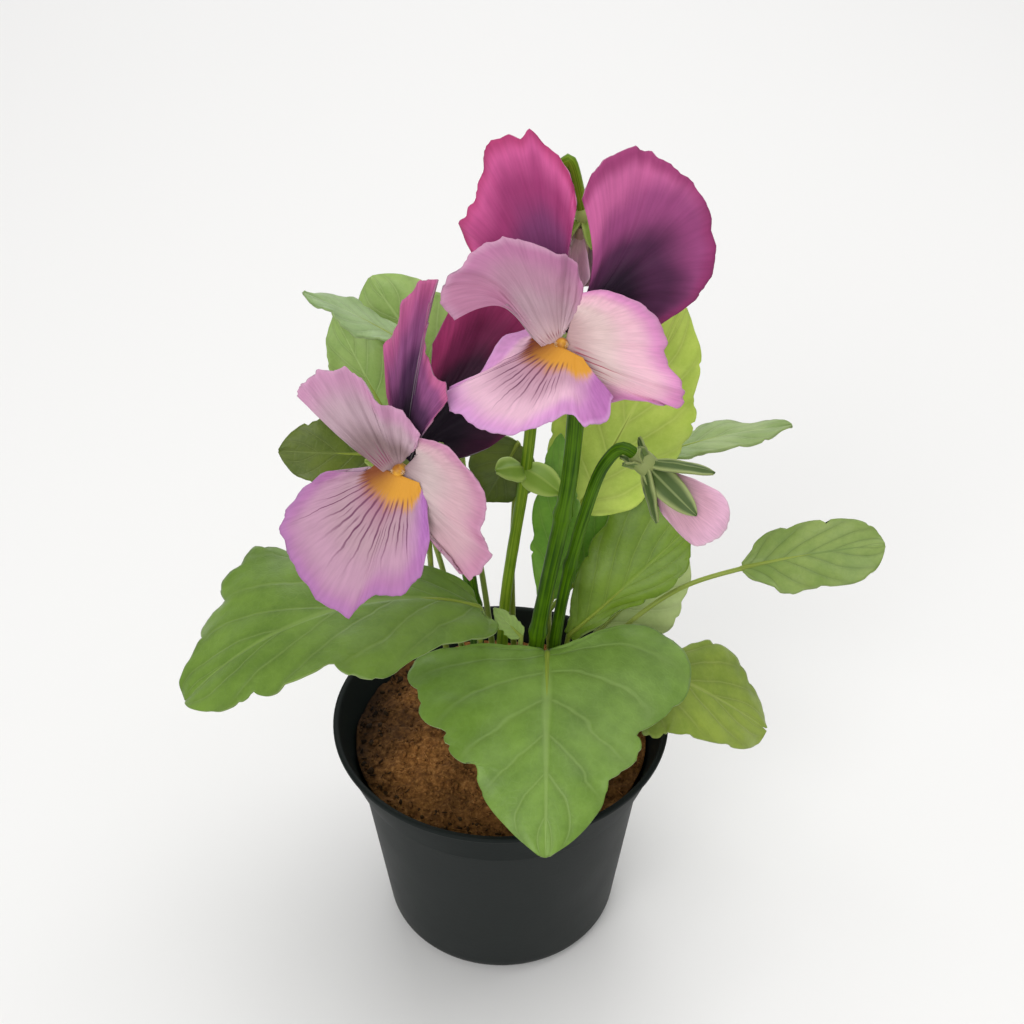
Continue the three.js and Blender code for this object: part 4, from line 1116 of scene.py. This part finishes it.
petal(
    "bloom_2_lower_petal",
    petal_pair(
        "violet_petal",
        [(0.15, (0.36, 0.15, 0.22)), (0.5, (0.45, 0.28, 0.34)), (0.78, (0.49, 0.28, 0.39)),
         (1.0, (0.43, 0.18, 0.38))],
        flanks=0.35,
        rim=(0.42, 0.18, 0.42), rim_from=0.88, tint=(0.42, 0.16, 0.46), tint_span=(0.7, 1.0),
        veins=19, vein_colour=(0.11, 0.013, 0.07), vein_length=0.9, vein_spread=0.42, vein_middle=0.52,
        vein_from=0.16, eye=0.24,
    ),
    "petal_lilac", **LOW_BLOOM, to=(-33.9, -46, 142.9), layer=1,
    edge=[
        (0.05, -0.38), (0.15, -0.8), (0.3, -1.05), (0.5, -1.15), (0.66, -1.14), (0.82, -0.85),
        (0.98, -0.41), (1, 0.06), (0.83, 0.2), (0.74, 0.55), (0.57, 0.7), (0.32, 0.64),
        (0.09, 0.44),
    ],
    face=(-0.25, -0.85, 0.5), claw=11, claw_reach=0.6, teeth=1.3,
    width=38, arch=15, roll=20, ruffle=0.8, waves=4,
)


# ------------------------------------------------------------------ stems and calyces
# Each flower stands on one round juicy stem, a little thicker at its joints, that ends in a green
# knob with sepals. The sepals are narrow cupped sheets: dark along the middle, pale at the rim.

SEPAL_THICKNESS = 0.5
SEPAL_CELLS = (14, 18)
SEPAL_HALF = [(0, 0.5), (0.3, 0.95), (0.62, 0.86), (0.98, 0.14)]
OPEN_ARCH, CLOSED_ARCH, SEPAL_ROLL = 30, 20, 40
STEM_SIDES = 14
SWELLING, SWELLING_LENGTH = 0.28, 1.8
OPEN_SEAT, BUD_SEAT = 6.1, 3


def stem_skin(name, deep, bright):
    """Glossy stem tissue with fine stripes along it."""
    skin, tree, shader, place, around, along = new_skin(name, 0.4, 0.0, 0.12)
    stripe = add_node(
        tree, "ShaderNodeCombineXYZ", {},
        {"X": maths(tree, "MULTIPLY", around, 26.0), "Y": maths(tree, "MULTIPLY", along, 5.0)},
    ).outputs["Vector"]
    lines = noisy(tree, stripe, 1.0, 2.0)
    blotch = noisy(tree, place, 90.0, 4.0)
    share = maths(tree, "MULTIPLY_ADD", lines, 0.6, maths(tree, "MULTIPLY", blotch, 0.4))
    colour = mixed(tree, ramped(tree, share, 0.36, 0.64), deep, bright)
    tree.links.new(colour, shader.inputs["Base Color"])
    embossed(tree, shader, lines, 0.18, 0.0003)
    return skin


def sepal_skin(name, middle, rim):
    """Dull sepal tissue with a pale rim and a painted highlight down its middle."""
    skin, tree, shader, place, across, _ = new_skin(name, 0.55, 0.15)
    edge = maths(tree, "ABSOLUTE", maths(tree, "MULTIPLY_ADD", across, 2.0, -1.0))
    mottle = noisy(tree, place, 160.0, 4.0)
    reach = maths(tree, "ADD", edge, maths(tree, "MULTIPLY_ADD", mottle, 0.3, -0.15))
    pale = ramped(tree, reach, 0.5, 0.95)
    # painted highlight: a pale line along the raised middle of the sepal
    ridge = ramped(tree, edge, 0.03, 0.12, 0.5, 0.0)
    colour = mixed(tree, maths(tree, "MAXIMUM", pale, ridge), middle, rim)
    tree.links.new(colour, shader.inputs["Base Color"])
    embossed(tree, shader, mottle, 0.4, 0.0004)
    return skin


stem_green = stem_skin("stem_green", (0.020, 0.064, 0.001), (0.080, 0.186, 0.003))
young_stem = stem_skin("young_stem_green", (0.090, 0.190, 0.005), (0.250, 0.370, 0.025))
bract_green = [
    sepal_skin("bract_green", (0.190, 0.320, 0.025), (0.340, 0.470, 0.090)),
    sepal_skin("bract_green_underside", (0.260, 0.390, 0.060), (0.380, 0.500, 0.120)),
]
calyx_green = [
    sepal_skin("calyx_green", (0.055, 0.100, 0.016), (0.300, 0.360, 0.130)),
    sepal_skin("calyx_green_underside", (0.110, 0.170, 0.035), (0.240, 0.290, 0.090)),
]


def narrow_blade(bm, start, end, facing, width, arch, roll):
    """A pointed, cupped little leaf: a sepal, a bract or a scale."""
    outline = cut_edge(SEPAL_HALF)
    lie = laid(start, end, facing, width, arch, roll)
    seed = width * 3.7 + start[0]

    def place(u, s):
        v = 1 - 2 * u
        cut = outline(s)
        x = s ** 1.15 + (cut.x - s ** 1.15) * abs(v)
        crease = noise.noise(Vector((x * 4, v * 1.5, seed))) * 0.35
        return lie(x, cut.y * v, abs(v), s, 0.35 * exp(-((v / 0.2) ** 2)) + crease - 0.15)

    sheet(bm, *SEPAL_CELLS, place, SEPAL_THICKNESS)


def upward_from(axis):
    """The direction square to a flower's axis that points most nearly up."""
    return (Vector((0, 0, 1)) - axis * axis.z).normalized()


def aimed(spot, axis):
    """Moves a shape that stands on the origin to a spot, along an axis."""
    return Matrix.Translation(spot * MM) @ axis.to_track_quat("Z", "Y").to_matrix().to_4x4()


def flower_stem(name, skins, foot, via, seat, axis, radius, knob, sepals, bracts=(), joints=(),
                stretch=1.15):
    """A stem from its foot in the soil to the calyx behind a flower. A sepal is given by its turn
    round the flower's axis, its spread from the axis, its length and its width, a bract as
    narrow_blade takes it, and a joint by its height. Stretch lengthens the knob."""
    bm = new_tissue()
    path = smooth_path(standing(foot) + via + [seat])
    radii = []
    for spot in path:
        swelling = sum(SWELLING * exp(-((spot.z - z) / SWELLING_LENGTH) ** 2) for z in joints)
        radii.append(radius * (0.97 + 0.06 * noise.noise(spot * 0.12) + swelling))
    tube(bm, path, radii, STEM_SIDES)
    others = set(bm.faces)
    shape = aimed(seat, axis) @ Matrix.Diagonal((1, 1, stretch, 1))
    bmesh.ops.create_uvsphere(bm, u_segments=18, v_segments=12, radius=knob * MM, matrix=shape)
    for face in set(bm.faces) - others:
        face.material_index = UNDERSIDE  # the knob is as dull as the backs of its sepals
    for turned_by, spread, length, width in sepals:
        away = Quaternion(axis, radians(turned_by)) @ upward_from(axis)
        heading = axis * cos(radians(spread)) + away * sin(radians(spread))
        facing = away * cos(radians(spread)) - axis * sin(radians(spread))
        start = seat + away * 0.35 * knob
        arch = OPEN_ARCH if spread > 100 else CLOSED_ARCH
        narrow_blade(bm, start, start + heading * length, facing, width, arch, SEPAL_ROLL)
    for bract in bracts:
        narrow_blade(bm, *bract)
    finished_piece(name + "_stalk", bm, skins, "stem", name)


OPEN_CALYX = [(turn, 108, 9.5, 4.4) for turn in (18, 90, 162, 234, 306)]
for name, bloom, foot, via, radius, joints in (
    ("bloom_1_stem", HIGH_BLOOM, (9, 1), [(9.5, 0.5, 95), (17, -1, 150), (17.5, -1, 178)], 2.1, (98, 137)),
    ("bloom_2_stem", LOW_BLOOM, (-6, -1), [(-6, 2, 90), (-8.5, 4, 118), (-13, -3, 142)], 1.9, (104,)),
):
    axis = Vector(bloom["bloom_faces"]).normalized()
    flower_stem(
        name, bract_green + [stem_green], foot, via, Vector(bloom["centre"]) - axis * OPEN_SEAT, axis,
        radius, knob=2.5, sepals=OPEN_CALYX, joints=joints,
    )

BUD_1 = {"base": Vector((37, -2, 150.5)), "tip": Vector((52.5, -8, 137.5))}
BUD_2 = {"base": Vector((19, 14, 207)), "tip": Vector((18, 11, 193))}
axis = (BUD_1["tip"] - BUD_1["base"]).normalized()
flower_stem(
    "bud_1_stem", calyx_green + [stem_green], (13, 6),
    [(15, 4, 98), (21, 2, 135), (25.5, 1, 151), (29.5, 0, 156)],
    BUD_1["base"] - axis * BUD_SEAT, axis, radius=1.6, knob=2.9,
    sepals=[
        (58, 29, 18, 7.5), (5, 44, 17, 5), (125, 36, 14, 7.5), (190, 36, 13, 7), (245, 36, 13, 6),
        (310, 34, 13, 6), (30, 140, 6, 3.4), (100, 140, 6, 3.4), (190, 150, 6, 3), (290, 150, 6, 3),
    ],
    joints=(118,), stretch=1.7,
)
axis = (BUD_2["tip"] - BUD_2["base"]).normalized()
flower_stem(
    "bud_2_stem", bract_green + [young_stem], (0, 6),
    [(1, 7.5, 99), (7, 8, 150), (10, 13, 190), (13, 15, 216), (15.5, 15.5, 223)],
    BUD_2["base"] - axis * BUD_SEAT, axis, radius=1.5, knob=2.2,
    sepals=[(turn, 35, 8, 3) for turn in (45, 135, 225, 315)],
    bracts=[
        ((6, 7, 145), (15, 2, 141), (0.2, -0.6, 1), 9, 40, 35),
        ((6, 7, 145), (-1, 2, 148), (-0.2, -0.6, 1), 8, 40, 35),
    ],
)


# ------------------------------------------------------------------ throats
# A small yellow dome in the middle of each bloom, where the five claws meet, with short pale
# hairs on both its sides.

THROAT_SECTION = [
    (0, -3.2), (1.3, -3.2), (1.5, -2.2), (1.55, -1), (1.5, 0), (1.35, 0.7), (1.1, 1.15), (0.75, 1.45),
    (0.4, 1.62), (0, 1.66),
]
THROAT_SPOKES = 28
HAIRS = 36


def throat_skin(name, roughness, scale, spread, deep, bright):
    """Velvety throat tissue, mottled from deep to bright at a scale."""
    skin, tree, shader, place, *_ = new_skin(name, roughness, 0.2)
    colour = mixed(tree, ramped(tree, noisy(tree, place, scale), *spread), deep, bright)
    tree.links.new(colour, shader.inputs["Base Color"])
    return skin


throat_gold = throat_skin(
    "throat_gold", 0.5, 420.0, (0.35, 0.65), (0.40, 0.15, 0.012), (0.72, 0.36, 0.025),
)
throat_hair = throat_skin(
    "throat_hair", 0.7, 900.0, (0.3, 0.7), (0.62, 0.38, 0.16), (0.80, 0.60, 0.40),
)

draw = Random(5)
for name, bloom in (("bloom_1_throat", HIGH_BLOOM), ("bloom_2_throat", LOW_BLOOM)):
    bm = bmesh.new()
    turned(bm, THROAT_SECTION, THROAT_SPOKES)
    for _ in range(HAIRS):
        side = draw.choice((-1, 1))
        lean = Matrix.Rotation(side * radians(draw.uniform(35, 75)), 4, "Y")
        lean = Matrix.Rotation(radians(draw.uniform(-25, 35)), 4, "X") @ lean
        hair = bmesh.ops.create_cone(
            bm, cap_ends=True, segments=4, radius1=0.10 * MM, radius2=0.03 * MM,
            depth=draw.uniform(0.8, 1.4) * MM,
        )
        root = (lean @ Vector((0, 0, 1.5))) * 0.8 + Vector((0, 0, 0.4))
        spot = Matrix.Translation(root * MM)
        bmesh.ops.transform(bm, verts=hair["verts"], matrix=spot @ lean)
        for vert in hair["verts"]:
            for face in vert.link_faces:
                face.material_index = 1
    axis = Vector(bloom["bloom_faces"]).normalized()
    bmesh.ops.transform(bm, verts=bm.verts[:], matrix=aimed(Vector(bloom["centre"]), axis))
    finished_piece(name + "_dome", bm, [throat_gold, throat_hair], "throat_yellow", name)


# ------------------------------------------------------------------ buds
# A pink bud, hanging by its calyx: petals wrapped round one another in layers over a small core,
# thin and creased along their length, with ragged free edges that stand a little apart at the tip.

BUD_EDGE = [
    (0.1, -0.7), (0.36, -0.95), (0.68, -1), (0.93, -0.8), (1.0, -0.35), (1.02, 0.1), (0.97, 0.5),
    (0.9, 0.84), (0.66, 1), (0.34, 0.92), (0.1, 0.66),
]
BUD_CELLS = (56, 30)
CORE_SPOKES = 20
BUD_WRAP = 75
WRAP_STEP = 1.0
CLOSING_FROM, CLOSING_SPAN = 0.84, 0.26

# the browner, darker first stop near the calyx is painted shade
bud_skins = petal_pair(
    "bud_pink",
    [(0.0, (0.40, 0.27, 0.20)), (0.28, (0.56, 0.37, 0.39)), (0.6, (0.60, 0.33, 0.43)),
     (0.95, (0.76, 0.44, 0.60))],
    rim=(0.84, 0.56, 0.70), rim_from=0.93, streaks=0.1,
)
for name, ends, girth, wraps in (
    ("bud_1_petals", BUD_1, 14.5, (60, 180, 300)), ("bud_2_petals", BUD_2, 9.5, (200, 20)),
):
    base = ends["base"]
    length = (ends["tip"] - base).length
    axis = (ends["tip"] - base).normalized()
    upright = upward_from(axis)
    outline = cut_edge(BUD_EDGE)
    bm = new_tissue()
    wide, narrow = girth * 0.15 + WRAP_STEP / 2, girth * 0.19
    core = [
        (0, -0.2), (wide, -0.2), (wide, 1.6), (narrow, 3), (narrow, length * 0.5),
        (narrow * 0.6, length * 0.7), (0, length * 0.8),
    ]
    turned(bm, core, CORE_SPOKES)
    bmesh.ops.transform(bm, verts=bm.verts[:], matrix=aimed(base, axis))
    for layer, turned_by in enumerate(wraps):

        def place(s, r):
            cut = outline(s)
            rough = 1 + noise.noise(Vector((s * 34, layer * 3.1, girth))) * 0.03 * r ** 4
            x = cut.x * r * rough
            y = 0.6 * (2 * s - 1)
            y += (cut.y - y) * r ** 1.2
            away = Quaternion(axis, radians(turned_by + BUD_WRAP * y)) @ upright
            closing = 1 - (max(0.0, x - CLOSING_FROM) / CLOSING_SPAN) ** 2
            swell = girth / 2 * sin(pi * (0.13 + 0.47 * x)) * max(0.1, closing) ** 0.5
            swell += noise.noise(Vector((s * 9, r * 2, layer * 5 + girth))) * 0.9 * r
            return base + axis * (length * x) + away * (swell - layer * WRAP_STEP)

        sheet(bm, *BUD_CELLS, place, PETAL_THICKNESS)
    bmesh.ops.recalc_face_normals(bm, faces=bm.faces[:])
    finished_piece(name + "_wrap", bm, bud_skins, "bud_pink", name)
